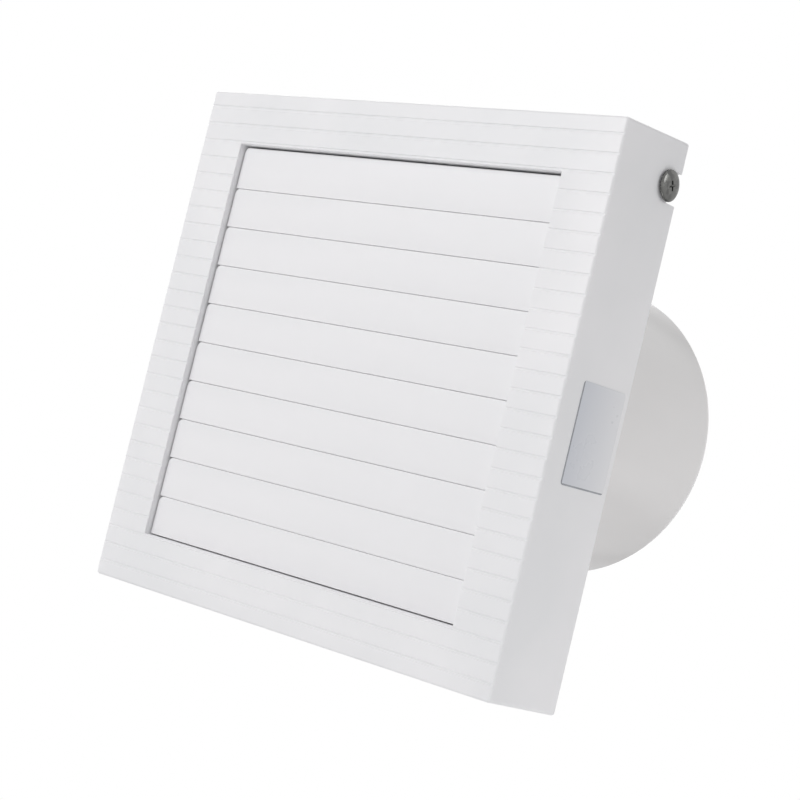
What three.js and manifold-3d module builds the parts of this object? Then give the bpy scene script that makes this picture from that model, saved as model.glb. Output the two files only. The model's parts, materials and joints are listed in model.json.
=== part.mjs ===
// A square exhaust fan for a window or an outside wall. A flat louvred cover faces the room, a round
// duct spigot goes through the wall, and a small axial fan turns inside the spigot. A heat-driven
// plunger lifts one tie bar, which swings all ten louvres open together.
//
// X runs to the right, Y into the wall along the duct, and Z up. The origin is where the duct's axis
// meets the wall's surface. All sizes are in millimetres and degrees.

import * as THREE from 'three';
import { mergeVertices } from 'three/addons/utils/BufferGeometryUtils.js';
import Module from 'manifold-3d';

// ---- Driving dimensions ----

const FIT = 0.3; // gap between two pieces that seat on, in or round each other
const PAST = 1; // how far a cutter reaches beyond what it cuts

// Front cover: a shallow open-backed box with a square opening
const COVER_SIDE = 160; // at the front
const COVER_DEPTH = 30;
const COVER_DRAFT = 0.9; // how far each side wall leans outward by the time it meets the wall
const COVER_WALL = 2.4;
const COVER_CORNER_R = 1.6;
const COVER_EDGE_R = 1.2;
const COVER_DROP = 3.5; // the cover's centre lies this far below the duct's axis
const COVER_BORDER = 17.1; // from the cover's side to the opening
const FLANGE_WALL = 2.3; // collar behind the opening, which carries the louvres
const FLANGE_DEPTH = 12;
const GROOVE_COUNT = 28;
const GROOVE_MOUTH = 0.9;
const GROOVE_FLOOR = 0.4;
const GROOVE_DEPTH = 0.45;
const COVER_RIB_WALL = 1.6;
const COVER_RIB_DEPTH = 9;

// Louvres
const LOUVRE_COUNT = 10;
const LOUVRE_RECESS = 2.3; // from the cover's front to the louvres' front
const LOUVRE_THICK = 1.5;
const LOUVRE_LIP_R = 0.9;
const LOUVRE_CORNER_R = 2;
const LOUVRE_TOP_GAP = 0.6; // between the opening's top and the first louvre
const LOUVRE_END_GAP = 0.4;
const LOUVRE_SEAM = 0.35; // between one louvre's lower edge and the next one's lip
const PIVOT_BELOW_LIP = 2.2;
const FIRST_LIP_RISE = 0.9; // the first louvre is this much taller, as nothing hangs over its lip
const TONGUE_THICK = 1.0;
const TONGUE_OVERLAP = 2.0; // how far the tongue hangs behind the next lip
const TONGUE_GAP = 0.4;
const EAR_R = 1.9; // ear on each end of a louvre, which carries its stub
const EAR_ROOT_R = 0.7; // where the ear meets the louvre
const EAR_ROOT_DROP = 0.6;
const EAR_THICK = 2;
const STUB_R = 1.25;
const STUB_PAST_FLANGE = 1.2;
const RETAINER_THICK = 1.6;
const RETAINER_END = 4.5;

// Crank on each louvre's right end, and the tie bar that joins the crank pins
const CRANK_PIN_BACK = 4; // pin from pivot, towards the wall
const CRANK_PIN_DOWN = 3; // pin from pivot, downwards, with the louvres closed
const CRANK_HUB_R = 2.4;
const CRANK_EYE_R = 1.9;
const CRANK_THICK = 1.8;
const CRANK_GAP = 0.5;
const CRANK_PIN_R = 1.2;
const TIE_BAR_THICK = 2.5;
const TIE_BAR_WIDTH = 5;
const TIE_BAR_END = 3;
const TIE_BAR_GAP = 0.4;
const TAB_THICK = 2;
const TAB_PAD_WIDTH = 6;
const TAB_BRACE_THICK = 1.4;

// Heat-driven actuator under the tie bar's tab
const ACTUATOR_R = 4.2;
const ACTUATOR_LENGTH = 26;
const ACTUATOR_COLLAR = 3;
const ACTUATOR_NECK_R = 2.7;
const PLUNGER_R = 1.5;
const PLUNGER_TIP_Z = -4; // top of the plunger with the louvres closed
const PLUNGER_SHOWN = 3.5;
const PLUNGER_INSIDE = 12;
const CLIP_THICK = 1.2;
const CLIP_WIDTH = 8;
const CLIP_FOOT = 7.5;

// Base housing: wall plate, bell mouth, duct spigot and motor spider in one moulding
const BASE_THICK = 3;
const DUCT_R = 49;
const DUCT_WALL = 2;
const DUCT_LENGTH = 100;
const DUCT_LEAD = 3;
const DUCT_LEAD_DROP = 1;
const BELL_R = 7;
const SPIDER_FRONT = 58;
const SPIDER_THICK = 2.5;
const SPIDER_HOLE_R = 8;
const STRUT_COUNT = 4;
const STRUT_WIDTH = 2.6;
const STRUT_DEPTH = 9;
const WALL_HOLE_R = 2.3;
const WALL_HOLE_X = 42;
const WALL_HOLE_EDGE = 9.9; // from the plate's upper or lower edge
const WALL_SLOT = 6;
const GASKET_R = 56;
const GASKET_WIDTH = 5;
const GASKET_DEPTH = 1.2;

// Screws through the cover's sides
const COVER_SCREW_EDGE = 12.7; // from the cover's top
const COVER_SCREW_BACK = 5.5; // from the wall plane
const COVER_SCREW_HEAD_R = 4.5;
const COVER_SCREW_HEAD = 2;
const COVER_SCREW_RIM = 0.6;
const CROSS_DEPTH = 1.3;
const CROSS_WIDTH = 1;
const COVER_SCREW_R = 2;
const COVER_SCREW_LENGTH = 8;
const NOTCH_HEIGHT = 9.2;
const NOTCH_DEPTH = 4.5;
const LUG_WIDTH = 6;
const LUG_HEIGHT = 11;
const LUG_DEPTH = 7;

// Motor
const MOTOR_R = 25;
const MOTOR_WALL = 1.6;
const MOTOR_LENGTH = 27.7;
const MOTOR_FRONT_LENGTH = 15;
const MOTOR_EDGE = 3;
const SHAFT_R = 2;
const SHAFT_FRONT = -1.6;
const BEARING_R = 5;
const BEARING_LENGTH = 4;
const BEARING_SEAT_WALL = 1.5;
const CORE_LENGTH = 14;
const CORE_YOKE = 3;
const POLE_COUNT = 4;
const POLE_WIDTH = 6;
const POLE_SHOE = 1.6;
const ROTOR_R = 9.6;
const AIR_GAP = 0.5;
const COIL_WALL = 3;
const MOTOR_SCREW_RADIUS = 18; // from the motor's axis
const MOTOR_SCREW_R = 1.4;
const MOTOR_SCREW_HEAD_R = 2.8;
const MOTOR_SCREW_HEAD = 1.8;
const HEAD_TAPER = 0.7; // a small screw head's top radius over its lower radius

// Impeller
const HUB_R = 19;
const HUB_FRONT = 3;
const HUB_LENGTH = 22;
const HUB_WALL = 1.8;
const HUB_NOSE_R = 4;
const HUB_BOSS_R = 5;
const HUB_BOSS_LENGTH = 12;
const TIP_GAP = 1.4;
const BLADE_COUNT = 7;
const BLADE_THICK = 1.4;
const BLADE_CAMBER = 0.07; // height of the blade's curve over its chord
const BLADE_EDGE = 0.4; // thickness left at the blade's edges
const ROOT_CHORD = 21;
const TIP_CHORD = 30;
const ROOT_ANGLE = 52; // blade from the plane of rotation
const TIP_ANGLE = 30;
const NUT_R = 4;
const NUT_THICK = 3;

// Supply terminals, cord clamp and grommet, in the lower left corner
const TERMINAL_EDGE_X = 15.9; // from the plate's left edge
const TERMINAL_EDGE_Z = 12.9; // from the plate's lower edge
const TERMINAL_WIDTH = 18;
const TERMINAL_HEIGHT = 11;
const TERMINAL_DEPTH = 11;
const TERMINAL_SPACING = 9;
const TERMINAL_CORNER_R = 1;
const TERMINAL_WAIST = 1.2;
const TERMINAL_WAIST_DEPTH = 4.4;
const WIRE_HOLE_R = 1.5;
const TERMINAL_SCREW_R = 1.9;
const TERMINAL_SCREW_DEPTH = 6;
const TERMINAL_SCREW_SUNK = 1;
const TERMINAL_SCREW_SLOT = 0.8;
const CLAMP_ABOVE = 15.5; // from the terminals
const CLAMP_POST_HEIGHT = 5;
const CLAMP_POST_R = 3;
const CLAMP_SPACING = 16;
const CLAMP_THICK = 2.4;
const CLAMP_ARCH_R = 3.4;
const CLAMP_ARCH_DROP = 2; // the arch's centre lies this far outside the bar
const CLAMP_SCREW_R = 1.3;
const CLAMP_SCREW_HEAD_R = 2.6;
const CLAMP_SCREW_HEAD = 1.6;
const CLAMP_SCREW_LENGTH = 6;
const GROMMET_ABOVE = 13.5; // from the clamp
const GROMMET_R = 6;
const GROMMET_BORE_R = 3.4;
const GROMMET_FLANGE = 1.6;
const GROMMET_FLANGE_R = 7.6;

// Flat sides on round shapes, by their size
const DUCT_SIDES = 40;
const DRUM_SIDES = 24;
const DISC_SIDES = 14;
const PIN_SIDES = 8;
const LINK_STEPS = 2; // half the steps on a link's rounded end

// ---- Places worked out from them ----

const FRONT_Y = -COVER_DEPTH;
const OPENING_SIDE = COVER_SIDE - 2 * COVER_BORDER;
const FLANGE_REAR = FRONT_Y + FLANGE_DEPTH;
const FLANGE_OUTER = OPENING_SIDE / 2 + FLANGE_WALL;
const REAR_HALF = COVER_SIDE / 2 + COVER_DRAFT; // the cover at the wall
const SKIRT_INNER = REAR_HALF - COVER_WALL;
const LUG_FRONT = -BASE_THICK - LUG_DEPTH;
const PLATE_HALF = SKIRT_INNER + draftAt(LUG_FRONT) - COVER_DRAFT - FIT; // clear of the leaning wall
const FIRST_LIP_Z = OPENING_SIDE / 2 - LOUVRE_TOP_GAP - FIRST_LIP_RISE; // without its rise
const LOUVRE_PITCH = (FIRST_LIP_Z + OPENING_SIDE / 2) / LOUVRE_COUNT;
const LOUVRE_HALF = OPENING_SIDE / 2 - LOUVRE_END_GAP;
const PIVOT_Y = FRONT_Y + COVER_WALL + CRANK_HUB_R + FIT;
const LOUVRE_FRONT = FRONT_Y + LOUVRE_RECESS - PIVOT_Y; // from the pivot
const LOUVRE_BOTTOM = PIVOT_BELOW_LIP - LOUVRE_PITCH + LOUVRE_SEAM;
const FIRST_PIVOT_Z = FIRST_LIP_Z - PIVOT_BELOW_LIP;
const CRANK_X = FLANGE_OUTER + CRANK_GAP;
const TIE_BAR_X = CRANK_X + CRANK_THICK + TIE_BAR_GAP;
const TIE_BAR_Y = PIVOT_Y + CRANK_PIN_BACK;
const ACTUATOR_X = TIE_BAR_X + TIE_BAR_THICK / 2;
const ACTUATOR_Y = -BASE_THICK - FIT - ACTUATOR_R;
const ACTUATOR_TOP = PLUNGER_TIP_Z - PLUNGER_SHOWN;
const DUCT_BORE = DUCT_R - DUCT_WALL;
const TERMINAL_X = TERMINAL_EDGE_X - PLATE_HALF;
const TERMINAL_Z = TERMINAL_EDGE_Z - PLATE_HALF; // from the cover's centre
const CLAMP_Z = TERMINAL_Z + CLAMP_ABOVE;
const GROMMET_Z = CLAMP_Z + GROMMET_ABOVE;
const COVER_SCREW_Y = -COVER_SCREW_BACK;
const COVER_SCREW_Z = COVER_SIDE / 2 - COVER_SCREW_EDGE;
const WALL_HOLE_Z = PLATE_HALF - WALL_HOLE_EDGE;
const MOTOR_REAR = SPIDER_FRONT - FIT;
const MOTOR_FRONT = MOTOR_REAR - MOTOR_LENGTH;
const MOTOR_SPLIT = MOTOR_FRONT + MOTOR_FRONT_LENGTH;
const BEARING_FRONT_Y = MOTOR_FRONT + MOTOR_WALL + FIT;
const BEARING_REAR_Y = MOTOR_REAR - MOTOR_WALL - FIT - BEARING_LENGTH;
const CORE_R = MOTOR_R - MOTOR_WALL - FIT;
const CORE_MID = (MOTOR_FRONT + MOTOR_REAR) / 2;
const CORE_BORE = ROTOR_R + AIR_GAP;
const HUB_REAR = HUB_FRONT + HUB_LENGTH;

// ---- Materials ----

function finish(color, roughness, metalness) {
  return new THREE.MeshStandardMaterial({ color, roughness, metalness, flatShading: true });
}

const MATERIALS = {
  coverPlastic: finish('#eceff0', 0.38, 0),
  louvrePlastic: finish('#eef1f2', 0.36, 0),
  ductPlastic: finish('#dfe0dd', 0.3, 0),
  linkPlastic: finish('#e4e2da', 0.45, 0),
  impellerPlastic: finish('#d9dcdd', 0.4, 0),
  terminalPlastic: finish('#d6d2c4', 0.5, 0),
  foam: finish('#3a3c3e', 0.95, 0),
  rubber: finish('#2d2f31', 0.85, 0),
  darkScrew: finish('#4c5358', 0.42, 0.85),
  zincSteel: finish('#a9adb0', 0.35, 0.9),
  laminations: finish('#7d8084', 0.5, 0.9),
  copper: finish('#b06a3c', 0.35, 0.9),
  bronze: finish('#9c7a45', 0.45, 0.9),
  brass: finish('#c2a25a', 0.35, 0.9),
};

// How far the cover's side walls have leaned outward at a place on their way from front to wall
function draftAt(y) {
  return (COVER_DRAFT * (y - FRONT_Y)) / COVER_DEPTH;
}

// ---- Solids ----

const wasm = await Module();
wasm.setup();

// Makes a solid from a closed geometry: equal corners are joined, empty triangles are dropped, and
// all faces are turned outward.
function toSolid(geometry) {
  geometry.deleteAttribute('normal');
  geometry.deleteAttribute('uv');
  const merged = mergeVertices(geometry, 1e-4);
  const position = merged.attributes.position;
  const corner = [new THREE.Vector3(), new THREE.Vector3(), new THREE.Vector3()];
  const triangles = [];
  let volume = 0;
  for (let i = 0; i < merged.index.count; i += 3) {
    const [a, b, c] = [0, 1, 2].map((k) => merged.index.getX(i + k));
    if (a !== b && b !== c && c !== a) {
      triangles.push([a, b, c]);
      [a, b, c].forEach((v, k) => corner[k].fromBufferAttribute(position, v));
      volume += corner[0].dot(corner[1].cross(corner[2]));
    }
  }
  const outward = triangles.map(([a, b, c]) => (volume < 0 ? [a, c, b] : [a, b, c]));
  const triVerts = new Uint32Array(outward.flat());
  return new wasm.Manifold(new wasm.Mesh({ numProp: 3, vertProperties: position.array, triVerts }));
}

function toGeometry(solid) {
  const mesh = solid.getMesh();
  const geometry = new THREE.BufferGeometry();
  geometry.setAttribute('position', new THREE.BufferAttribute(mesh.vertProperties, 3));
  geometry.setIndex(new THREE.BufferAttribute(mesh.triVerts, 1));
  geometry.computeVertexNormals();
  return geometry;
}

function join(...solids) {
  return solids.reduce((whole, piece) => whole.add(piece));
}

function cut(body, ...cutters) {
  return cutters.reduce((rest, cutter) => rest.subtract(cutter), body);
}

// A box between two corners
function boxGeometry([x0, y0, z0], [x1, y1, z1]) {
  const box = new THREE.BoxGeometry(x1 - x0, y1 - y0, z1 - z0);
  return box.translate((x0 + x1) / 2, (y0 + y1) / 2, (z0 + z1) / 2);
}

function block(low, high) {
  return toSolid(boxGeometry(low, high));
}

// A round rod along one axis; centre holds its place on the other two
function rod(axis, radius, from, to, centre = [0, 0], sides = PIN_SIDES, endRadius = radius) {
  const turns = { x: [0, 0, -Math.PI / 2], y: [0, 0, 0], z: [Math.PI / 2, 0, 0] };
  const [u, v] = centre;
  const middle = (from + to) / 2;
  const place = { x: [middle, u, v], y: [u, middle, v], z: [u, v, middle] };
  const cylinder = new THREE.CylinderGeometry(endRadius, radius, to - from, sides);
  cylinder.applyMatrix4(new THREE.Matrix4().makeRotationFromEuler(new THREE.Euler(...turns[axis])));
  return toSolid(cylinder.translate(...place[axis]));
}

// A profile in (Y, Z) drawn out along X, one in (X, Z) along Y, or one in (X, Y) along Z
function sweep(axis, shape, from, to, curveSegments = 8) {
  const geometry = new THREE.ExtrudeGeometry(shape, { depth: to - from, bevelEnabled: false, curveSegments });
  const [right, back, up] = [0, 1, 2].map((k) => new THREE.Vector3().setComponent(k, 1));
  const bases = { x: [back, up, right], y: [right, up, back.clone().negate()], z: [right, back, up] };
  const starts = { x: [from, 0, 0], y: [0, to, 0], z: [0, 0, from] };
  geometry.applyMatrix4(new THREE.Matrix4().makeBasis(...bases[axis]));
  return toSolid(geometry.translate(...starts[axis]));
}

// A closed profile of [radius, y] points turned about the duct's axis
function turned(profile, sides = DRUM_SIDES) {
  const onAxis = profile[0][0] === 0 && profile.at(-1)[0] === 0;
  const points = onAxis ? profile : [...profile, profile[0]];
  return toSolid(new THREE.LatheGeometry(points.map(([r, y]) => new THREE.Vector2(r, y)), sides));
}

// [radius, y] points on an arc, both ends included
function arc(centreR, centreY, radius, fromDegrees, toDegrees, steps) {
  return Array.from({ length: steps + 1 }, (_, i) => {
    const angle = THREE.MathUtils.degToRad(fromDegrees + ((toDegrees - fromDegrees) * i) / steps);
    return [centreR + radius * Math.cos(angle), centreY + radius * Math.sin(angle)];
  });
}

function polygon(points) {
  return new THREE.Shape(points.map(([u, v]) => new THREE.Vector2(u, v)));
}

// A rectangle about its centre, with the same radius at each corner
function roundedRectangle(width, height, radius, centreU = 0, centreV = 0) {
  const [u, v] = [width / 2 - radius, height / 2 - radius];
  const shape = new THREE.Shape();
  shape.absarc(centreU + u, centreV + v, radius, 0, Math.PI / 2);
  shape.absarc(centreU - u, centreV + v, radius, Math.PI / 2, Math.PI);
  shape.absarc(centreU - u, centreV - v, radius, Math.PI, 1.5 * Math.PI);
  shape.absarc(centreU + u, centreV - v, radius, 1.5 * Math.PI, 2 * Math.PI);
  return shape;
}

// The outline of a link: two circles joined by their outer tangents
function linkShape([u0, v0], r0, [u1, v1], r1) {
  const heading = Math.atan2(v1 - v0, u1 - u0);
  const side = Math.acos((r0 - r1) / Math.hypot(u1 - u0, v1 - v0));
  const shape = new THREE.Shape();
  shape.absarc(u0, v0, r0, heading + side, heading - side + 2 * Math.PI);
  shape.absarc(u1, v1, r1, heading - side, heading + side);
  return shape;
}

function mesh(name, solid, material, x = 0, y = 0, z = 0) {
  const piece = new THREE.Mesh(toGeometry(solid), material);
  piece.name = name;
  piece.position.set(x, y, z);
  return piece;
}

// Two places on one side of the middle, the lower one first
function span(side, a, b) {
  return side > 0 ? [a, b] : [-b, -a];
}

function numbers(count) {
  return Array.from({ length: count }, (_, i) => i);
}

function pivotZ(index) {
  return FIRST_PIVOT_Z - index * LOUVRE_PITCH;
}

// ---- Front cover, in its own frame: the cover's centre is at X = Z = 0 ----

// Leans the four sides of a shape outward, as the cover's side walls lean
function leaning(geometry) {
  const { position } = geometry.attributes;
  for (let i = 0; i < position.count; i += 1) {
    const [x, y, z] = [position.getX(i), position.getY(i), position.getZ(i)];
    position.setXYZ(i, x + Math.sign(x) * draftAt(y), y, z + Math.sign(z) * draftAt(y));
  }
  return toSolid(geometry);
}

// The hollow box with its rounded front edges
function coverShell() {
  const outline = roundedRectangle(COVER_SIDE, COVER_SIDE, COVER_CORNER_R);
  const blank = new THREE.ExtrudeGeometry(outline, {
    depth: COVER_DEPTH,
    bevelThickness: COVER_EDGE_R,
    bevelSize: COVER_EDGE_R,
    bevelOffset: -COVER_EDGE_R,
    bevelSegments: 2,
    curveSegments: 2,
  });
  blank.rotateX(Math.PI / 2).translate(0, COVER_EDGE_R, 0);
  const behindWall = block([-COVER_SIDE, 0, -COVER_SIDE], [COVER_SIDE, COVER_DEPTH, COVER_SIDE]);
  const half = COVER_SIDE / 2 - COVER_WALL;
  const inside = boxGeometry([-half, FRONT_Y + COVER_WALL, -half], [half, PAST, half]);
  return cut(leaning(blank), behindWall, leaning(inside));
}

// The collar behind the opening, before the opening is cut
function collar() {
  const half = FLANGE_OUTER;
  return block([-half, FRONT_Y + COVER_WALL / 2, -half], [half, FLANGE_REAR, half]);
}

// Stiffening ribs between the collar and the top and bottom walls
function coverRibs() {
  const ribs = [-1, 0, 1].flatMap((step) => [-1, 1].map((side) => {
    const x = (step * OPENING_SIDE) / 3;
    const [low, high] = span(side, FLANGE_OUTER - FIT, SKIRT_INNER + FIT);
    return block(
      [x - COVER_RIB_WALL / 2, FRONT_Y + COVER_WALL / 2, low],
      [x + COVER_RIB_WALL / 2, FRONT_Y + COVER_WALL + COVER_RIB_DEPTH, high],
    );
  }));
  return join(...ribs);
}

// One tapered groove that runs across the whole front
function groove(z) {
  const half = GROOVE_MOUTH / 2 + ((GROOVE_MOUTH - GROOVE_FLOOR) / GROOVE_DEPTH / 2) * PAST;
  const profile = polygon([
    [FRONT_Y - PAST, z - half],
    [FRONT_Y + GROOVE_DEPTH, z - GROOVE_FLOOR / 2],
    [FRONT_Y + GROOVE_DEPTH, z + GROOVE_FLOOR / 2],
    [FRONT_Y - PAST, z + half],
  ]);
  return sweep('x', profile, -COVER_SIDE, COVER_SIDE);
}

// The slot that a louvre's stub slides into from behind, through both side walls of the collar
function pivotSlot(z) {
  const half = STUB_R + FIT;
  const wide = FLANGE_OUTER + PAST;
  const channel = block([-wide, PIVOT_Y, z - half], [wide, FLANGE_REAR + PAST, z + half]);
  return channel.add(rod('x', half, -wide, wide, [PIVOT_Y, z]));
}

// The notch in a side wall for a cover screw: wide at the wall, then a slot for the shank
function screwNotch(side) {
  const [near, far] = span(side, SKIRT_INNER - PAST, REAR_HALF + PAST);
  const half = COVER_SCREW_R + FIT;
  const mouth = block(
    [near, -NOTCH_DEPTH, COVER_SCREW_Z - NOTCH_HEIGHT / 2],
    [far, PAST, COVER_SCREW_Z + NOTCH_HEIGHT / 2],
  );
  const slot = block([near, COVER_SCREW_Y, COVER_SCREW_Z - half], [far, PAST, COVER_SCREW_Z + half]);
  return join(mouth, slot, rod('x', half, near, far, [COVER_SCREW_Y, COVER_SCREW_Z]));
}

function frontCover() {
  const inner = OPENING_SIDE / 2;
  const opening = block([-inner, FRONT_Y - PAST, -inner], [inner, FLANGE_REAR + PAST, inner]);
  const pitch = COVER_SIDE / (GROOVE_COUNT + 1);
  const grooves = numbers(GROOVE_COUNT).map((i) => groove(COVER_SIDE / 2 - (i + 1) * pitch));
  const slots = numbers(LOUVRE_COUNT).map((i) => pivotSlot(pivotZ(i)));
  const walls = join(coverShell(), collar(), coverRibs());
  return cut(walls, opening, join(...grooves), join(...slots), screwNotch(-1), screwNotch(1));
}

// ---- Louvres: each is drawn about its own pivot ----

// The louvre's section: a flat front, a rounded lip at the top, and at the bottom a tongue that
// hangs behind the next louvre's lip. The last louvre has no tongue.
function louvreProfile(top, hasTongue) {
  const [front, back, bottom] = [LOUVRE_FRONT, LOUVRE_FRONT + LOUVRE_THICK, LOUVRE_BOTTOM];
  const tongueFront = back + TONGUE_GAP;
  const tongueBack = tongueFront + TONGUE_THICK;
  const tongueEnd = bottom - LOUVRE_SEAM - TONGUE_OVERLAP;
  const ease = 0.3;
  const lip = arc(front + LOUVRE_LIP_R, top - LOUVRE_LIP_R, LOUVRE_LIP_R, 90, 180, 3);
  const tongue = [
    [tongueFront, bottom],
    [tongueFront, tongueEnd + ease],
    [tongueFront + ease, tongueEnd],
    [tongueBack, tongueEnd],
    [tongueBack, bottom + TONGUE_THICK / 2],
    [back, bottom + TONGUE_THICK + tongueBack - back],
  ];
  const plain = [[back, bottom]];
  return polygon([
    ...lip,
    [front, bottom + ease],
    [front + ease, bottom],
    ...(hasTongue ? tongue : plain),
    [back, top - ease],
    [back - ease, top],
  ]);
}

// The louvre's front outline, with both upper corners rounded
function louvreOutline(top) {
  const [half, radius] = [LOUVRE_HALF, LOUVRE_CORNER_R];
  const shape = new THREE.Shape();
  shape.moveTo(-half, -2 * LOUVRE_PITCH);
  shape.lineTo(half, -2 * LOUVRE_PITCH);
  shape.absarc(half - radius, top - radius, radius, 0, Math.PI / 2);
  shape.absarc(radius - half, top - radius, radius, Math.PI / 2, Math.PI);
  return shape;
}

// The ends of the tongue are cut away to clear the next louvre's ears
function tongueEnds() {
  const inner = LOUVRE_HALF - EAR_THICK - TONGUE_GAP;
  return [[-LOUVRE_HALF - PAST, -inner], [inner, LOUVRE_HALF + PAST]].map(([low, high]) => (
    block([low, -LOUVRE_PITCH, -2 * LOUVRE_PITCH], [high, LOUVRE_PITCH, LOUVRE_BOTTOM])
  ));
}

// The ear that reaches back from the louvre to its pivot
function ear(from, to) {
  const root = [LOUVRE_FRONT + LOUVRE_THICK / 2, -EAR_ROOT_DROP];
  return sweep('x', linkShape(root, EAR_ROOT_R, [0, 0], EAR_R), from, to, LINK_STEPS);
}

// Stub axles on the ears, and beyond the right one the crank with its pin
function louvreEnds() {
  const root = LOUVRE_HALF - FIT;
  const crankEnd = CRANK_X + CRANK_THICK;
  const pin = [CRANK_PIN_BACK, -CRANK_PIN_DOWN];
  const left = rod('x', STUB_R, -(FLANGE_OUTER + STUB_PAST_FLANGE), -root);
  const right = rod('x', STUB_R, root, crankEnd);
  const arm = sweep('x', linkShape([0, 0], CRANK_HUB_R, pin, CRANK_EYE_R), CRANK_X, crankEnd, LINK_STEPS + 1);
  const pinEnd = TIE_BAR_X + TIE_BAR_THICK + FIT;
  const crankPin = rod('x', CRANK_PIN_R, crankEnd - FIT, pinEnd, pin);
  const ears = [ear(-LOUVRE_HALF, EAR_THICK - LOUVRE_HALF), ear(LOUVRE_HALF - EAR_THICK, LOUVRE_HALF)];
  return join(left, right, arm, crankPin, ...ears);
}

function louvre(index) {
  const top = PIVOT_BELOW_LIP + (index === 0 ? FIRST_LIP_RISE : 0);
  const blade = sweep('x', louvreProfile(top, index < LOUVRE_COUNT - 1), -LOUVRE_HALF, LOUVRE_HALF);
  const trimmed = blade.intersect(sweep('y', louvreOutline(top), -LOUVRE_PITCH, LOUVRE_PITCH, 2));
  return join(cut(trimmed, ...tongueEnds()), louvreEnds());
}

// A comb pushed in from behind: its fingers close the slots and keep the stubs in their seats
function pivotRetainer(side) {
  const [low, high] = span(side, OPENING_SIDE / 2, FLANGE_OUTER);
  const [spineFront, spineBack] = [FLANGE_REAR + FIT, FLANGE_REAR + FIT + RETAINER_THICK];
  const [bottom, top] = [pivotZ(LOUVRE_COUNT - 1) - RETAINER_END, FIRST_PIVOT_Z + RETAINER_END];
  const spine = block([low, spineFront, bottom], [high, spineBack, top]);
  const fingers = numbers(LOUVRE_COUNT).map((i) => block(
    [low, PIVOT_Y + STUB_R + FIT, pivotZ(i) - STUB_R],
    [high, spineBack, pivotZ(i) + STUB_R],
  ));
  return join(spine, ...fingers);
}

// The tie bar, with an eye for each crank pin and a tab that the actuator pushes
function tieBar() {
  const [x0, x1] = [TIE_BAR_X, TIE_BAR_X + TIE_BAR_THICK];
  const eyeZ = (i) => pivotZ(i) - CRANK_PIN_DOWN;
  const height = eyeZ(0) - eyeZ(LOUVRE_COUNT - 1) + 2 * TIE_BAR_END;
  const middle = (eyeZ(0) + eyeZ(LOUVRE_COUNT - 1)) / 2;
  const outline = roundedRectangle(TIE_BAR_WIDTH, height, TIE_BAR_WIDTH / 2 - FIT, TIE_BAR_Y, middle);
  const eyes = numbers(LOUVRE_COUNT).map((i) => (
    rod('x', CRANK_PIN_R + FIT, x0 - PAST, x1 + PAST, [TIE_BAR_Y, eyeZ(i)])
  ));
  return cut(join(sweep('x', outline, x0, x1, 2), tieBarTab(x0, x1)), ...eyes);
}

// The tab: an arm that reaches back over the plunger, a wider pad at its end, and a brace
function tieBarTab(x0, x1) {
  const under = PLUNGER_TIP_Z + FIT + COVER_DROP;
  const over = under + TAB_THICK;
  const start = TIE_BAR_Y + TIE_BAR_WIDTH / 2 - FIT;
  const end = ACTUATOR_Y + TAB_PAD_WIDTH / 2;
  const middle = (x0 + x1) / 2;
  const sunk = over - FIT;
  const brace = polygon([[start, sunk], [end - 2 * PLUNGER_R, sunk], [start, over + TIE_BAR_WIDTH]]);
  const arm = block([x0, start, under], [x1, end, over]);
  const pad = block(
    [middle - TAB_PAD_WIDTH / 2, ACTUATOR_Y - TAB_PAD_WIDTH / 2, under],
    [middle + TAB_PAD_WIDTH / 2, end, over],
  );
  return join(arm, pad, sweep('x', brace, middle - TAB_BRACE_THICK / 2, middle + TAB_BRACE_THICK / 2));
}

// ---- Base housing ----

// Bell mouth and duct spigot in one turned wall, with a tapered lead at the outlet
function ductWall() {
  const [tip, lead] = [DUCT_LENGTH, DUCT_LENGTH - DUCT_LEAD];
  const inner = arc(DUCT_BORE + BELL_R, 0, BELL_R, 180, 270, 4);
  const outer = arc(DUCT_BORE + BELL_R, 0, BELL_R - DUCT_WALL, 270, 180, 2);
  const end = [[DUCT_R, lead], [DUCT_R - DUCT_LEAD_DROP, tip], [DUCT_BORE, tip]];
  return turned([...inner, ...outer, ...end], DUCT_SIDES);
}

function wallPlate() {
  const side = 2 * PLATE_HALF;
  const plate = sweep('y', roundedRectangle(side, side, COVER_CORNER_R, 0, -COVER_DROP), -BASE_THICK, 0, 1);
  return plate.subtract(rod('y', DUCT_R - DUCT_WALL / 2, -BASE_THICK - PAST, PAST, [0, 0], DUCT_SIDES));
}

// A centre disc that the motor is screwed to, on straight struts with a thin trailing edge
function spider() {
  const disc = rod('y', MOTOR_R, SPIDER_FRONT, SPIDER_FRONT + SPIDER_THICK, [0, 0], DRUM_SIDES);
  const reach = DUCT_BORE + DUCT_WALL / 2;
  const half = STRUT_WIDTH / 2;
  const rear = SPIDER_FRONT + STRUT_DEPTH;
  const section = polygon([[-half, SPIDER_FRONT], [half, SPIDER_FRONT], [half / 2, rear], [-half / 2, rear]]);
  const struts = numbers(STRUT_COUNT).map((i) => {
    const strut = sweep('z', section, SPIDER_HOLE_R + FIT, reach);
    return strut.rotate([0, ((i + 0.5) * 360) / STRUT_COUNT, 0]);
  });
  return cut(join(disc, ...struts), rod('y', SPIDER_HOLE_R, 0, DUCT_LENGTH, [0, 0], DISC_SIDES));
}

// A lug on the plate, inside the cover's side wall, that a cover screw bites into
function screwLug(side) {
  const [low, high] = span(side, PLATE_HALF - LUG_WIDTH, PLATE_HALF);
  const [z, half] = [COVER_SCREW_Z - COVER_DROP, LUG_HEIGHT / 2];
  return block([low, LUG_FRONT, z - half], [high, -BASE_THICK / 2, z + half]);
}

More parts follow.
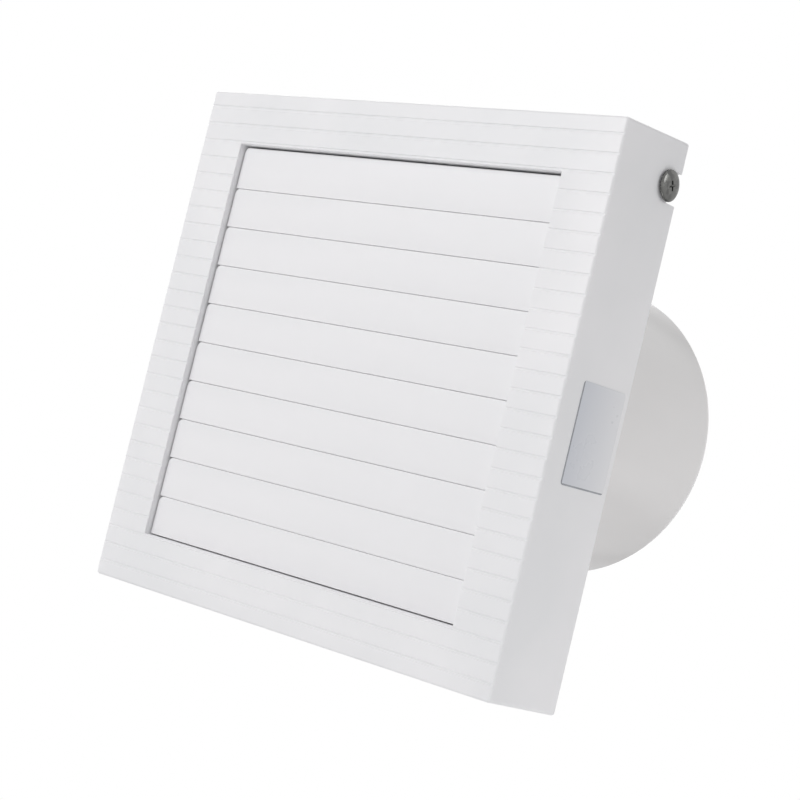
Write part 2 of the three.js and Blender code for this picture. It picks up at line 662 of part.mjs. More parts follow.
function screwHole(side) {
  const [low, high] = span(side, SKIRT_INNER - 2 * LUG_WIDTH, SKIRT_INNER + PAST);
  return rod('x', COVER_SCREW_R + FIT, low, high, [COVER_SCREW_Y, COVER_SCREW_Z - COVER_DROP]);
}

// A slot for a wall screw, with room to level the fan
function wallSlot(x, z) {
  const shape = new THREE.Shape();
  shape.absarc(x + WALL_SLOT / 2, z, WALL_HOLE_R, -Math.PI / 2, Math.PI / 2);
  shape.absarc(x - WALL_SLOT / 2, z, WALL_HOLE_R, Math.PI / 2, 1.5 * Math.PI);
  return sweep('y', shape, -BASE_THICK - PAST, PAST, LINK_STEPS);
}

// A rod at each of the cord clamp's two screws
function clampRods(radius, from, to) {
  return [-1, 1].map((side) => {
    const x = TERMINAL_X + (side * CLAMP_SPACING) / 2;
    return rod('y', radius, from, to, [x, CLAMP_Z - COVER_DROP]);
  });
}

function motorScrewPlaces() {
  return [-1, 1].map((side) => [side * MOTOR_SCREW_RADIUS, 0]);
}

function motorHoles(from, to) {
  return motorScrewPlaces().map((place) => rod('y', MOTOR_SCREW_R + FIT, from, to, place));
}

function gasketRing(inner, outer, from, to) {
  return turned([[inner, from], [outer, from], [outer, to], [inner, to]], DUCT_SIDES);
}

function baseHousing() {
  const slots = [-1, 1].flatMap((side) => [-1, 1].map((end) => (
    wallSlot(side * WALL_HOLE_X, end * WALL_HOLE_Z - COVER_DROP)
  )));
  const groove = gasketRing(GASKET_R - FIT, GASKET_R + GASKET_WIDTH + FIT, -GASKET_DEPTH - FIT, PAST);
  const grommetPlace = [TERMINAL_X, GROMMET_Z - COVER_DROP];
  const grommetHole = rod('y', GROMMET_R + FIT, -BASE_THICK - PAST, PAST, grommetPlace, DISC_SIDES);
  const postEnd = -BASE_THICK - CLAMP_POST_HEIGHT;
  const posts = clampRods(CLAMP_POST_R, postEnd, -BASE_THICK / 2);
  const postHoles = clampRods(CLAMP_SCREW_R + FIT, postEnd - PAST, -BASE_THICK / 2);
  const whole = join(wallPlate(), ductWall(), spider(), screwLug(-1), screwLug(1), ...posts);
  const holes = [...motorHoles(MOTOR_REAR, DUCT_LENGTH), ...postHoles, grommetHole];
  return cut(whole, ...slots, groove, ...holes, screwHole(-1), screwHole(1));
}

function wallGasket() {
  return gasketRing(GASKET_R, GASKET_R + GASKET_WIDTH, -GASKET_DEPTH, 0);
}

// A domed screw drawn with its head's seat at X = 0 and its shank towards -X
function coverScrew() {
  const [radius, rise, rim] = [COVER_SCREW_HEAD_R, COVER_SCREW_HEAD, COVER_SCREW_RIM];
  const dome = arc(0, 0, 1, 0, 90, 4).map(([u, v]) => [radius * u, rim + (rise - rim) * v]);
  const head = turned([[0, 0], [radius, 0], ...dome.slice(0, -1), [0, rise]], DISC_SIDES);
  const shank = rod('y', COVER_SCREW_R, -COVER_SCREW_LENGTH, FIT);
  const [wide, narrow] = [radius / 2, CROSS_WIDTH / 2];
  const cross = [[narrow, wide], [wide, narrow]].map(([x, z]) => (
    block([-x, rise - CROSS_DEPTH, -z], [x, rise + PAST, z])
  ));
  return cut(head.add(shank), ...cross).rotate([0, 0, -90]);
}

// ---- Motor ----

function motorFrontShell() {
  const [front, seat] = [MOTOR_FRONT, BEARING_R + FIT];
  const floor = front + MOTOR_WALL;
  const seatEnd = floor + FIT + BEARING_LENGTH;
  const inner = MOTOR_R - MOTOR_WALL;
  return turned([
    [SHAFT_R + FIT, front],
    [MOTOR_R - MOTOR_EDGE, front], [MOTOR_R, front + MOTOR_EDGE], [MOTOR_R, MOTOR_SPLIT],
    [inner, MOTOR_SPLIT], [inner, floor + MOTOR_EDGE], [inner - MOTOR_EDGE, floor],
    [seat + BEARING_SEAT_WALL, floor], [seat + BEARING_SEAT_WALL, seatEnd], [seat, seatEnd],
    [seat, floor], [SHAFT_R + FIT, floor],
  ]);
}

function motorRearShell() {
  const [rear, seat] = [MOTOR_REAR, BEARING_R + FIT];
  const floor = rear - MOTOR_WALL;
  const seatEnd = floor - FIT - BEARING_LENGTH;
  const inner = MOTOR_R - MOTOR_WALL;
  const shell = turned([
    [0, rear], [MOTOR_R - MOTOR_EDGE, rear], [MOTOR_R, rear - MOTOR_EDGE], [MOTOR_R, MOTOR_SPLIT + FIT],
    [inner, MOTOR_SPLIT + FIT], [inner, floor - MOTOR_EDGE], [inner - MOTOR_EDGE, floor],
    [seat + BEARING_SEAT_WALL, floor], [seat + BEARING_SEAT_WALL, seatEnd], [seat, seatEnd],
    [seat, floor], [0, floor],
  ]);
  return cut(shell, ...motorHoles(floor - PAST, rear + PAST));
}

function bearing(from) {
  const [bore, outer, to, ease] = [SHAFT_R + FIT, BEARING_R, from + BEARING_LENGTH, 0.5];
  return turned([
    [bore, from], [outer - ease, from], [outer, from + ease],
    [outer, to - ease], [outer - ease, to], [bore, to],
  ], DISC_SIDES);
}

// Laminated core: a yoke ring with inward poles that end in curved shoes round the rotor
function statorCore() {
  const [from, to] = [CORE_MID - CORE_LENGTH / 2, CORE_MID + CORE_LENGTH / 2];
  const yoke = cut(
    rod('y', CORE_R, from, to, [0, 0], DRUM_SIDES),
    rod('y', CORE_R - CORE_YOKE, from - PAST, to + PAST, [0, 0], DRUM_SIDES),
  );
  const poles = numbers(POLE_COUNT).map((i) => block(
    [-POLE_WIDTH / 2, from, CORE_BORE - POLE_SHOE / 2],
    [POLE_WIDTH / 2, to, CORE_R - CORE_YOKE / 2],
  ).rotate([0, (i * 360) / POLE_COUNT, 0]));
  const shoeReach = POLE_WIDTH / 2 + POLE_SHOE;
  const shoeRing = cut(
    rod('y', CORE_BORE + POLE_SHOE, from, to, [0, 0], DRUM_SIDES),
    rod('y', CORE_BORE, from - PAST, to + PAST, [0, 0], DRUM_SIDES),
  );
  const shoes = numbers(POLE_COUNT).map((i) => shoeRing.intersect(
    block([-shoeReach, from, 0], [shoeReach, to, CORE_R]).rotate([0, (i * 360) / POLE_COUNT, 0]),
  ));
  return cut(join(yoke, ...poles, ...shoes), rod('y', CORE_BORE, from - PAST, to + PAST, [0, 0], DRUM_SIDES));
}

// A coil round the pole that points along +Z
function fieldCoil() {
  const [u, v] = [POLE_WIDTH / 2 + FIT, CORE_LENGTH / 2 + FIT];
  const shape = roundedRectangle(2 * (u + COIL_WALL), 2 * (v + COIL_WALL), COIL_WALL, 0, CORE_MID);
  shape.holes.push(polygon([[-u, CORE_MID - v], [-u, CORE_MID + v], [u, CORE_MID + v], [u, CORE_MID - v]]));
  const [near, far] = [CORE_BORE + POLE_SHOE + FIT, CORE_R - CORE_YOKE - FIT];
  const room = rod('y', far, CORE_MID - CORE_LENGTH, CORE_MID + CORE_LENGTH, [0, 0], DRUM_SIDES);
  return sweep('z', shape, near, CORE_R, 2).intersect(room);
}

function rotor() {
  const half = CORE_LENGTH / 2 + 0.5;
  return turned([
    [SHAFT_R + FIT, CORE_MID - half], [ROTOR_R, CORE_MID - half],
    [ROTOR_R, CORE_MID + half], [SHAFT_R + FIT, CORE_MID + half],
  ]);
}

function motorShaft() {
  const [from, to] = [SHAFT_FRONT, MOTOR_REAR - MOTOR_WALL - FIT];
  const ease = 0.5;
  return turned([
    [0, from], [SHAFT_R - ease, from], [SHAFT_R, from + ease],
    [SHAFT_R, to - ease], [SHAFT_R - ease, to], [0, to],
  ], DISC_SIDES);
}

function motorScrew() {
  const seat = SPIDER_FRONT + SPIDER_THICK + FIT;
  const tip = MOTOR_REAR - MOTOR_WALL - 1;
  const [radius, top] = [MOTOR_SCREW_HEAD_R, MOTOR_SCREW_HEAD_R * HEAD_TAPER];
  const head = rod('y', radius, seat, seat + MOTOR_SCREW_HEAD, [0, 0], PIN_SIDES, top);
  return head.add(rod('y', MOTOR_SCREW_R, tip, seat + FIT));
}

// ---- Impeller ----

// One twisted blade, lofted from the hub to the tip. Each section lies on a cylinder about the axis.
function impellerBlade() {
  const [stations, steps] = [4, 5];
  const [rootR, tipR] = [HUB_R - HUB_WALL / 2, DUCT_BORE - TIP_GAP];
  const middle = HUB_FRONT + HUB_LENGTH / 2;
  const vertices = [];
  for (let j = 0; j <= stations; j += 1) {
    const t = j / stations;
    const radius = THREE.MathUtils.lerp(rootR, tipR, t);
    const chord = THREE.MathUtils.lerp(ROOT_CHORD, TIP_CHORD, t);
    const angle = THREE.MathUtils.degToRad(THREE.MathUtils.lerp(ROOT_ANGLE, TIP_ANGLE, t));
    for (const face of [1, -1]) {
      for (let k = 0; k <= steps; k += 1) {
        const u = k / steps - 0.5;
        const bulge = 1 - 4 * u * u; // 1 in the middle of the chord, 0 at its ends
        const half = (BLADE_THICK / 2) * THREE.MathUtils.lerp(BLADE_EDGE, 1, bulge);
        const rise = chord * BLADE_CAMBER * bulge + face * half;
        const round = (u * chord * Math.cos(angle) - rise * Math.sin(angle)) / radius;
        const along = u * chord * Math.sin(angle) + rise * Math.cos(angle);
        vertices.push(radius * Math.sin(round), middle + along, radius * Math.cos(round));
      }
    }
  }
  const geometry = new THREE.BufferGeometry();
  geometry.setAttribute('position', new THREE.Float32BufferAttribute(vertices, 3));
  geometry.setIndex(bladeFaces(stations, steps));
  return toSolid(geometry);
}

// Triangles of a lofted blade: both faces, both edges, and the root and tip caps
function bladeFaces(stations, steps) {
  const row = 2 * (steps + 1);
  const upper = (j, k) => j * row + k;
  const lower = (j, k) => j * row + steps + 1 + k;
  const faces = [];
  const quad = (a, b, c, d) => faces.push(a, b, c, a, c, d);
  for (let j = 0; j < stations; j += 1) {
    for (let k = 0; k < steps; k += 1) {
      quad(upper(j, k), upper(j, k + 1), upper(j + 1, k + 1), upper(j + 1, k));
      quad(lower(j, k), lower(j + 1, k), lower(j + 1, k + 1), lower(j, k + 1));
    }
    quad(upper(j, 0), upper(j + 1, 0), lower(j + 1, 0), lower(j, 0));
    quad(upper(j, steps), lower(j, steps), lower(j + 1, steps), upper(j + 1, steps));
  }
  for (let k = 0; k < steps; k += 1) {
    quad(upper(0, k), lower(0, k), lower(0, k + 1), upper(0, k + 1));
    quad(upper(stations, k), upper(stations, k + 1), lower(stations, k + 1), lower(stations, k));
  }
  return faces;
}

// A cup with a rounded nose, open towards the motor, and a boss on the shaft
function impellerHub() {
  const [front, rear] = [HUB_FRONT, HUB_REAR];
  const floor = front + HUB_WALL;
  const inner = HUB_R - HUB_WALL;
  const nose = arc(HUB_R - HUB_NOSE_R, front + HUB_NOSE_R, HUB_NOSE_R, -90, 0, 2);
  return turned([
    [SHAFT_R + FIT, front], ...nose, [HUB_R, rear], [inner, rear], [inner, floor + HUB_NOSE_R],
    [inner - HUB_NOSE_R + HUB_WALL, floor], [HUB_BOSS_R, floor], [HUB_BOSS_R, front + HUB_BOSS_LENGTH],
    [SHAFT_R + FIT, front + HUB_BOSS_LENGTH],
  ]);
}

function impeller() {
  const blade = impellerBlade();
  const blades = numbers(BLADE_COUNT).map((i) => blade.rotate([0, (i * 360) / BLADE_COUNT, 0]));
  const bore = rod('y', HUB_R - HUB_WALL, HUB_FRONT + HUB_NOSE_R, HUB_REAR + ROOT_CHORD, [0, 0], DRUM_SIDES);
  return impellerHub().add(cut(join(...blades), bore));
}

function impellerNut() {
  const rear = HUB_FRONT - FIT;
  return cut(
    rod('y', NUT_R, rear - NUT_THICK, rear, [0, 0], 6),
    rod('y', SHAFT_R + FIT, rear - NUT_THICK - PAST, rear + PAST),
  );
}

// ---- Actuator ----

function actuatorBody() {
  const bottom = ACTUATOR_TOP - ACTUATOR_LENGTH;
  const shoulder = ACTUATOR_TOP - ACTUATOR_COLLAR;
  const barrel = rod('z', ACTUATOR_R, bottom, shoulder, [0, 0], DISC_SIDES);
  const neck = rod('z', ACTUATOR_R, shoulder, ACTUATOR_TOP, [0, 0], DISC_SIDES, ACTUATOR_NECK_R);
  const bore = rod('z', PLUNGER_R + FIT, ACTUATOR_TOP - PLUNGER_INSIDE - PAST, ACTUATOR_TOP + PAST);
  return cut(barrel.add(neck), bore);
}

function actuatorPlunger() {
  return rod('z', PLUNGER_R, ACTUATOR_TOP - PLUNGER_INSIDE, PLUNGER_TIP_Z);
}

// A strap over the actuator with one foot on the wall plate, drawn about the actuator's axis
function actuatorClip() {
  const inner = ACTUATOR_R + FIT;
  const outer = inner + CLIP_THICK;
  const seat = ACTUATOR_R; // the plate's surface, less one gap
  const [foot, heel] = [-outer - CLIP_FOOT, seat - CLIP_THICK];
  const shape = new THREE.Shape();
  shape.moveTo(foot, seat);
  shape.lineTo(foot, heel);
  shape.lineTo(-outer, heel);
  shape.absarc(0, 0, outer, Math.PI, 2 * Math.PI);
  shape.lineTo(outer, seat);
  shape.lineTo(inner, seat);
  shape.absarc(0, 0, inner, 2 * Math.PI, Math.PI, true);
  shape.lineTo(-inner, seat);
  const hole = rod('y', CLAMP_SCREW_R + FIT, heel - PAST, seat + PAST, [foot + CLIP_FOOT / 2, 0]);
  return sweep('z', shape, -CLIP_WIDTH / 2, CLIP_WIDTH / 2, 6).subtract(hole);
}

// A small pan-head screw with its head's seat at Y = 0 and its shank towards +Y
function panScrew(length) {
  const [top, radius] = [CLAMP_SCREW_HEAD_R * HEAD_TAPER, CLAMP_SCREW_HEAD_R];
  const head = rod('y', top, -CLAMP_SCREW_HEAD, 0, [0, 0], PIN_SIDES, radius);
  return head.add(rod('y', CLAMP_SCREW_R, -FIT, length));
}

// ---- Supply terminals, clamp and grommet: drawn about their own centres ----

function terminalBlock() {
  const [half, high] = [TERMINAL_WIDTH / 2, TERMINAL_HEIGHT / 2];
  const body = sweep('y', roundedRectangle(2 * half, 2 * high, TERMINAL_CORNER_R), -TERMINAL_DEPTH, 0, 2);
  const waist = block(
    [-TERMINAL_WAIST / 2, -TERMINAL_DEPTH - PAST, -high - PAST],
    [TERMINAL_WAIST / 2, -TERMINAL_DEPTH + TERMINAL_WAIST_DEPTH, high + PAST],
  );
  const wellEnd = -TERMINAL_DEPTH + TERMINAL_SCREW_DEPTH;
  const wells = [-1, 1].flatMap((side) => {
    const x = (side * TERMINAL_SPACING) / 2;
    return [
      rod('y', TERMINAL_SCREW_R + FIT, -TERMINAL_DEPTH - PAST, wellEnd + FIT, [x, 0]),
      rod('z', WIRE_HOLE_R, 0, high + PAST, [x, wellEnd]),
    ];
  });
  return cut(body, waist, ...wells);
}

function terminalScrew() {
  const [front, rear] = [-TERMINAL_DEPTH + TERMINAL_SCREW_SUNK, -TERMINAL_DEPTH + TERMINAL_SCREW_DEPTH];
  const [wide, half] = [TERMINAL_SCREW_R + PAST, TERMINAL_SCREW_SLOT / 2];
  const slot = block([-wide, front - PAST, -half], [wide, front + TERMINAL_SCREW_SLOT, half]);
  return rod('y', TERMINAL_SCREW_R, front, rear).subtract(slot);
}

// A bar across the supply cord, arched over it and held by two screws
function cordClamp() {
  const half = CLAMP_SPACING / 2 + CLAMP_POST_R;
  const shape = new THREE.Shape();
  shape.moveTo(-half, 0);
  shape.lineTo(-half, -CLAMP_THICK);
  shape.lineTo(half, -CLAMP_THICK);
  shape.lineTo(half, 0);
  const edge = Math.asin(CLAMP_ARCH_DROP / CLAMP_ARCH_R);
  shape.absarc(0, CLAMP_ARCH_DROP, CLAMP_ARCH_R, -edge, edge - Math.PI, true);
  const holes = [-1, 1].map((side) => (
    rod('y', CLAMP_SCREW_R + FIT, -CLAMP_THICK - PAST, PAST, [(side * CLAMP_SPACING) / 2, 0])
  ));
  return cut(sweep('z', shape, -CLAMP_POST_R, CLAMP_POST_R, 6), ...holes);
}

function cableGrommet() {
  const front = -BASE_THICK - FIT;
  const ease = 0.6;
  return turned([
    [GROMMET_BORE_R, front - GROMMET_FLANGE], [GROMMET_FLANGE_R - ease, front - GROMMET_FLANGE],
    [GROMMET_FLANGE_R, front], [GROMMET_R, front], [GROMMET_R - ease, 0], [GROMMET_BORE_R, 0],
  ], DISC_SIDES);
}

// ---- Assembly ----

// Everything that comes away with the cover, about the cover's centre
function coverAssembly() {
  const group = new THREE.Group();
  group.position.z = -COVER_DROP;
  group.add(mesh('front_cover', frontCover(), MATERIALS.coverPlastic));
  for (const i of numbers(LOUVRE_COUNT)) {
    const name = `louvre_${String(i + 1).padStart(2, '0')}`;
    group.add(mesh(name, louvre(i), MATERIALS.louvrePlastic, 0, PIVOT_Y, pivotZ(i)));
  }
  group.add(mesh('pivot_retainer_left', pivotRetainer(-1), MATERIALS.linkPlastic));
  group.add(mesh('pivot_retainer_right', pivotRetainer(1), MATERIALS.linkPlastic));
  group.add(mesh('tie_bar', tieBar(), MATERIALS.linkPlastic));
  for (const [name, side] of [['right', 1], ['left', -1]]) {
    const screw = mesh(`cover_screw_${name}`, coverScrew(), MATERIALS.darkScrew);
    screw.position.set(side * (REAR_HALF + FIT), COVER_SCREW_Y, COVER_SCREW_Z);
    screw.rotation.z = side > 0 ? 0 : Math.PI;
    group.add(screw);
  }
  return group;
}

function motorAssembly() {
  const group = new THREE.Group();
  group.add(mesh('motor_front_shell', motorFrontShell(), MATERIALS.zincSteel));
  group.add(mesh('motor_rear_shell', motorRearShell(), MATERIALS.zincSteel));
  group.add(mesh('bearing_front', bearing(BEARING_FRONT_Y), MATERIALS.bronze));
  group.add(mesh('bearing_rear', bearing(BEARING_REAR_Y), MATERIALS.bronze));
  group.add(mesh('stator_core', statorCore(), MATERIALS.laminations));
  for (const i of numbers(POLE_COUNT)) {
    const coil = mesh(`field_coil_${i + 1}`, fieldCoil(), MATERIALS.copper);
    coil.rotation.y = (i * 2 * Math.PI) / POLE_COUNT;
    group.add(coil);
  }
  motorScrewPlaces().forEach(([x, z], i) => {
    group.add(mesh(`motor_screw_${i + 1}`, motorScrew(), MATERIALS.darkScrew, x, 0, z));
  });
  return group;
}

function rotatingAssembly() {
  const group = new THREE.Group();
  group.add(mesh('rotor', rotor(), MATERIALS.laminations));
  group.add(mesh('motor_shaft', motorShaft(), MATERIALS.zincSteel));
  group.add(mesh('impeller', impeller(), MATERIALS.impellerPlastic));
  group.add(mesh('impeller_nut', impellerNut(), MATERIALS.brass));
  return group;
}

function actuatorAssembly() {
  const group = new THREE.Group();
  group.position.set(ACTUATOR_X, ACTUATOR_Y, 0);
  group.add(mesh('actuator_body', actuatorBody(), MATERIALS.brass));
  group.add(mesh('actuator_plunger', actuatorPlunger(), MATERIALS.zincSteel));
  const middle = ACTUATOR_TOP - ACTUATOR_LENGTH * 0.55;
  group.add(mesh('actuator_clip', actuatorClip(), MATERIALS.linkPlastic, 0, 0, middle));
  const screwX = -(ACTUATOR_R + FIT + CLIP_THICK) - CLIP_FOOT / 2;
  const screwY = ACTUATOR_R - CLIP_THICK - FIT;
  group.add(mesh('actuator_clip_screw', panScrew(CLIP_THICK), MATERIALS.darkScrew, screwX, screwY, middle));
  return group;
}

// Everything that the supply lead meets, on the wall plate
function supplyAssembly() {
  const group = new THREE.Group();
  group.position.set(TERMINAL_X, -BASE_THICK - FIT, -COVER_DROP);
  group.add(mesh('terminal_block', terminalBlock(), MATERIALS.terminalPlastic, 0, 0, TERMINAL_Z));
  [-1, 1].forEach((side, i) => {
    const x = (side * TERMINAL_SPACING) / 2;
    group.add(mesh(`terminal_screw_${i + 1}`, terminalScrew(), MATERIALS.brass, x, 0, TERMINAL_Z));
  });
  group.add(mesh('cord_clamp', cordClamp(), MATERIALS.linkPlastic, 0, -CLAMP_POST_HEIGHT, CLAMP_Z));
  [-1, 1].forEach((side, i) => {
    const screw = mesh(`cord_clamp_screw_${i + 1}`, panScrew(CLAMP_SCREW_LENGTH), MATERIALS.darkScrew);
    screw.position.set((side * CLAMP_SPACING) / 2, -CLAMP_POST_HEIGHT - CLAMP_THICK - FIT, CLAMP_Z);
    group.add(screw);
  });
  group.add(mesh('cable_grommet', cableGrommet(), MATERIALS.rubber, 0, BASE_THICK + FIT, GROMMET_Z));
  return group;
}

const fan = new THREE.Group();
fan.name = 'window_exhaust_fan';
fan.add(mesh('base_housing', baseHousing(), MATERIALS.ductPlastic));
fan.add(mesh('wall_gasket', wallGasket(), MATERIALS.foam));
fan.add(coverAssembly(), motorAssembly(), rotatingAssembly(), actuatorAssembly(), supplyAssembly());

export default fan;
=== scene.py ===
# %% [markdown]
# # A square exhaust fan in white plastic
#
# The fan's working parts come from a finished CAD frame. Every piece of it already lies in its real
# place, in metres. This lesson dresses that frame: it models again, with finer curves, each piece
# whose facets would show, and it gives every piece a material made from nodes. It moves nothing, so
# what worked in CAD still works.

# %% Load the working frame
import json
import math

import bmesh
import bpy
from mathutils import Matrix, Vector


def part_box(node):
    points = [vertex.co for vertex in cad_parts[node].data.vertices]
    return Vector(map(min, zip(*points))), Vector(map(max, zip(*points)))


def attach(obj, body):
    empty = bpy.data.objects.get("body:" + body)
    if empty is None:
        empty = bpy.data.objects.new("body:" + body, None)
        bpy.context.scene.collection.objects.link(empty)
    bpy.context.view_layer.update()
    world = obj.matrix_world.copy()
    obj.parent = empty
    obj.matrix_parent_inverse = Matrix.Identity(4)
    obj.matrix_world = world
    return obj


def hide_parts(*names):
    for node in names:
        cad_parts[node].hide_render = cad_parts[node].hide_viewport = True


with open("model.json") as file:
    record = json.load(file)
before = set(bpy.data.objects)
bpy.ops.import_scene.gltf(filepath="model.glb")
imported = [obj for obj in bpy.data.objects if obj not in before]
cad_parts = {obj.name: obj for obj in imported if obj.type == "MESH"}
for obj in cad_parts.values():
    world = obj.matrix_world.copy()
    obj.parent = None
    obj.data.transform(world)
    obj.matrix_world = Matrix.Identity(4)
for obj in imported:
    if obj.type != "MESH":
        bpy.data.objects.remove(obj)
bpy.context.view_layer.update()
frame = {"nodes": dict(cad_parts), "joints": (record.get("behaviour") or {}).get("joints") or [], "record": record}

cad_nodes = frame["nodes"]

# %% [markdown]
# ## Measures
#
# The main sizes are read from the frame, so that each fine shell lies exactly on the CAD one. The
# smaller sizes are written once, in millimetres, above the pieces that use them. Vertices are worked
# out in millimetres too, and scaled to metres at the last moment. GAP is the clearance between
# pieces, and PAST is how far a cutter reaches beyond what it cuts. The duct's wide circles take 160
# steps and the motor's and hub's take 96.

# %% Measures in millimetres
MM = 0.001


def box_mm(node):
    """The lowest and highest corners of a CAD node, in millimetres."""
    return [Vector(corner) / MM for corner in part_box(node)]


cover_low, cover_high = box_mm("front_cover")
base_low, base_high = box_mm("base_housing")
GAP = 0.3
PAST = 1
WIDE_STEPS = 160
ROUND_STEPS = 96
COVER_HALF = (cover_high.x - cover_low.x) / 2
COVER_Z = (cover_high.z + cover_low.z) / 2
FRONT_Y = cover_low.y
COVER_WALL = 2.4
OPENING_HALF = 62.9
FLANGE_HALF = OPENING_HALF + 2.3
FLANGE_REAR = FRONT_Y + 12
PLATE_HALF = (base_high.x - base_low.x) / 2
DUCT_END = base_high.y

print("cover", round(2 * COVER_HALF, 1), "mm square, front at Y", round(FRONT_Y, 1), "mm")
print("duct ends at Y", round(DUCT_END, 1), "mm")

# %% [markdown]
# ## Small mesh tools
#
# Nearly every moulded piece of this fan is a ring of points that changes size on its way: a circle
# for the duct and the hub, a rounded square for the cover. So one function skins a row of such
# rings. A second one draws a flat profile out along a straight line, which is how the louvres are
# made. Cut-outs are left to Blender's exact boolean.

# %% Rings, skins and profiles


def arc(centre_u, centre_v, radius, start, end, steps):
    """Points on an arc in a plane, from one angle to another in degrees."""
    turns = [math.radians(start + (end - start) * i / steps) for i in range(steps + 1)]
    return [(centre_u + radius * math.cos(t), centre_v + radius * math.sin(t)) for t in turns]


def circle_ring(radius, y, steps):
    """A circle about the duct's axis."""
    return [Vector((u, y, v)) for u, v in arc(0, 0, radius, 0, 360, steps)[:-1]]


def square_ring(half, radius, y, centre_z, steps=5):
    """A square with rounded corners, across the duct's axis."""
    inner = half - radius
    places = [(inner, inner), (-inner, inner), (-inner, -inner), (inner, -inner)]
    corners = [arc(u, v, radius, 90 * i, 90 * i + 90, steps) for i, (u, v) in enumerate(places)]
    return [Vector((u, y, v + centre_z)) for corner in corners for u, v in corner]


def skin(rings, closed=False):
    """A mesh over rings of equal length. It closes on itself, or its two ends are capped."""
    mesh = bmesh.new()
    rows = [[mesh.verts.new(point) for point in ring] for ring in rings]
    pairs = list(zip(rows, rows[1:]))
    if closed:
        pairs.append((rows[-1], rows[0]))
    else:
        mesh.faces.new(rows[0])
        mesh.faces.new(rows[-1])
    count = len(rows[0])
    for near, far in pairs:
        for i in range(count):
            j = (i + 1) % count
            mesh.faces.new((near[i], near[j], far[j], far[i]))
    bmesh.ops.recalc_face_normals(mesh, faces=mesh.faces)
    return mesh


def turned(profile, steps, closed=True):
    """A profile of (radius, y) points turned about the duct's axis."""
    return skin([circle_ring(radius, y, steps) for radius, y in profile], closed)


def along(axis, s, u, v):
    """A point at s along an axis, and at u and v on the other two, in order."""
    return Vector({"x": (s, u, v), "y": (u, s, v), "z": (u, v, s)}[axis])


def drawn(axis, profile, start, end):
    """A flat profile drawn out along an axis; its points lie on the other two, in order."""
    return skin([[along(axis, s, u, v) for u, v in profile] for s in (start, end)])


def rod(axis, radius, start, end, centre=(0, 0), steps=32):
    """A round rod along an axis."""
    return drawn(axis, arc(*centre, radius, 0, 360, steps)[:-1], start, end)


def block(low, high):
    """A box between two corners."""
    corners = [(low[0], low[2]), (high[0], low[2]), (high[0], high[2]), (low[0], high[2])]
    return drawn("y", corners, low[1], high[1])


def gather(meshes):
    """Several meshes as one."""
    whole = bmesh.new()
    for mesh in meshes:
        data = bpy.data.meshes.new("gathered")
        mesh.to_mesh(data)
        mesh.free()
        whole.from_mesh(data)
        bpy.data.meshes.remove(data)
    return whole


# %% [markdown]
# ## From mesh to piece
#
# A boolean needs real objects, so a mesh becomes a working object first. When its shape is done it
# turns into a piece: scaled to metres, shaded smooth up to a crease angle, given its
# material and told which body it rides on, and the CAD nodes that it stands for are hidden.

# %% Working objects, booleans and finished pieces


def working(mesh):
    """A working object that holds a mesh in millimetres."""
    data = bpy.data.meshes.new("working")
    mesh.to_mesh(data)
    mesh.free()
    obj = bpy.data.objects.new("working", data)
    bpy.context.scene.collection.objects.link(obj)
    return obj


def settle(obj):
    """Bakes the object's modifiers into its mesh."""
    graph = bpy.context.evaluated_depsgraph_get()
    old = obj.data
    obj.data = bpy.data.meshes.new_from_object(obj.evaluated_get(graph))
    obj.modifiers.clear()
    bpy.data.meshes.remove(old)


def combine(obj, meshes, operation):
    """Joins meshes to a working object, or cuts them from it, one after another."""
    for mesh in meshes:
        other = working(mesh)
        modifier = obj.modifiers.new("combine", "BOOLEAN")
        modifier.solver = "EXACT"
        modifier.operation = operation
        modifier.object = other
        settle(obj)
        bpy.data.objects.remove(other)
    return obj


def finished(obj, name, material, body, replaced=(), place=(0, 0, 0), crease=30):
    """Turns a working object into a named piece of the fan."""
    obj.name = name
    obj.data.name = name
    obj.data.transform(Matrix.Scale(MM, 4))
    obj.location = Vector(place) * MM
    obj.data.shade_smooth()
    obj.data.set_sharp_from_angle(angle=math.radians(crease))
    obj.data.materials.clear()
    obj.data.materials.append(material)
    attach(obj, body)
    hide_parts(*replaced)
    print(name, "faces:", len(obj.data.polygons))


# %% [markdown]
# ## Colour and nodes
#
# Colours are written as they look on a screen, in sRGB hex, and one function makes them linear. One
# more function adds a node, sets what it is told and links what it is given. Every pattern is
# measured in millimetres on the object, so a function turns a real size into a texture's scale.

# %% Colour, node and material helpers


def linear(colour):
    """An sRGB hex colour as linear red, green, blue and alpha."""
    channels = [int(colour[i:i + 2], 16) / 255 for i in (1, 3, 5)]
    light = [c / 12.92 if c <= 0.04045 else ((c + 0.055) / 1.055) ** 2.4 for c in channels]
    return (*light, 1.0)


def per(size_mm):
    """The texture scale that gives a pattern features of this size."""
    return 1 / (size_mm * MM)


def add(tree, kind, inputs=None, **properties):
    """Adds a node, sets its properties, and links or sets its inputs."""
    node = tree.nodes.new("ShaderNode" + kind)
    for name, value in properties.items():
        setattr(node, name, value)
    for name, value in (inputs or {}).items():
        if isinstance(value, bpy.types.NodeSocket):
            tree.links.new(value, node.inputs[name])
        else:
            node.inputs[name].default_value = value
    return node


def blank_material(name):
    """An empty material that holds only the coordinates of the piece in metres."""
    material = bpy.data.materials.new(name)
    material.use_nodes = True
    tree = material.node_tree
    tree.nodes.clear()
    return material, tree, add(tree, "TexCoord").outputs["Object"]


def two_tones(tree, factor, first, second, start=0.35, end=0.65):
    """A soft change between two hex colours, driven by a pattern."""
    ramp = add(tree, "ValToRGB", {"Fac": factor})
    ramp.color_ramp.elements[0].position = start
    ramp.color_ramp.elements[0].color = linear(first)
    ramp.color_ramp.elements[1].position = end
    ramp.color_ramp.elements[1].color = linear(second)
    return ramp.outputs["Color"]


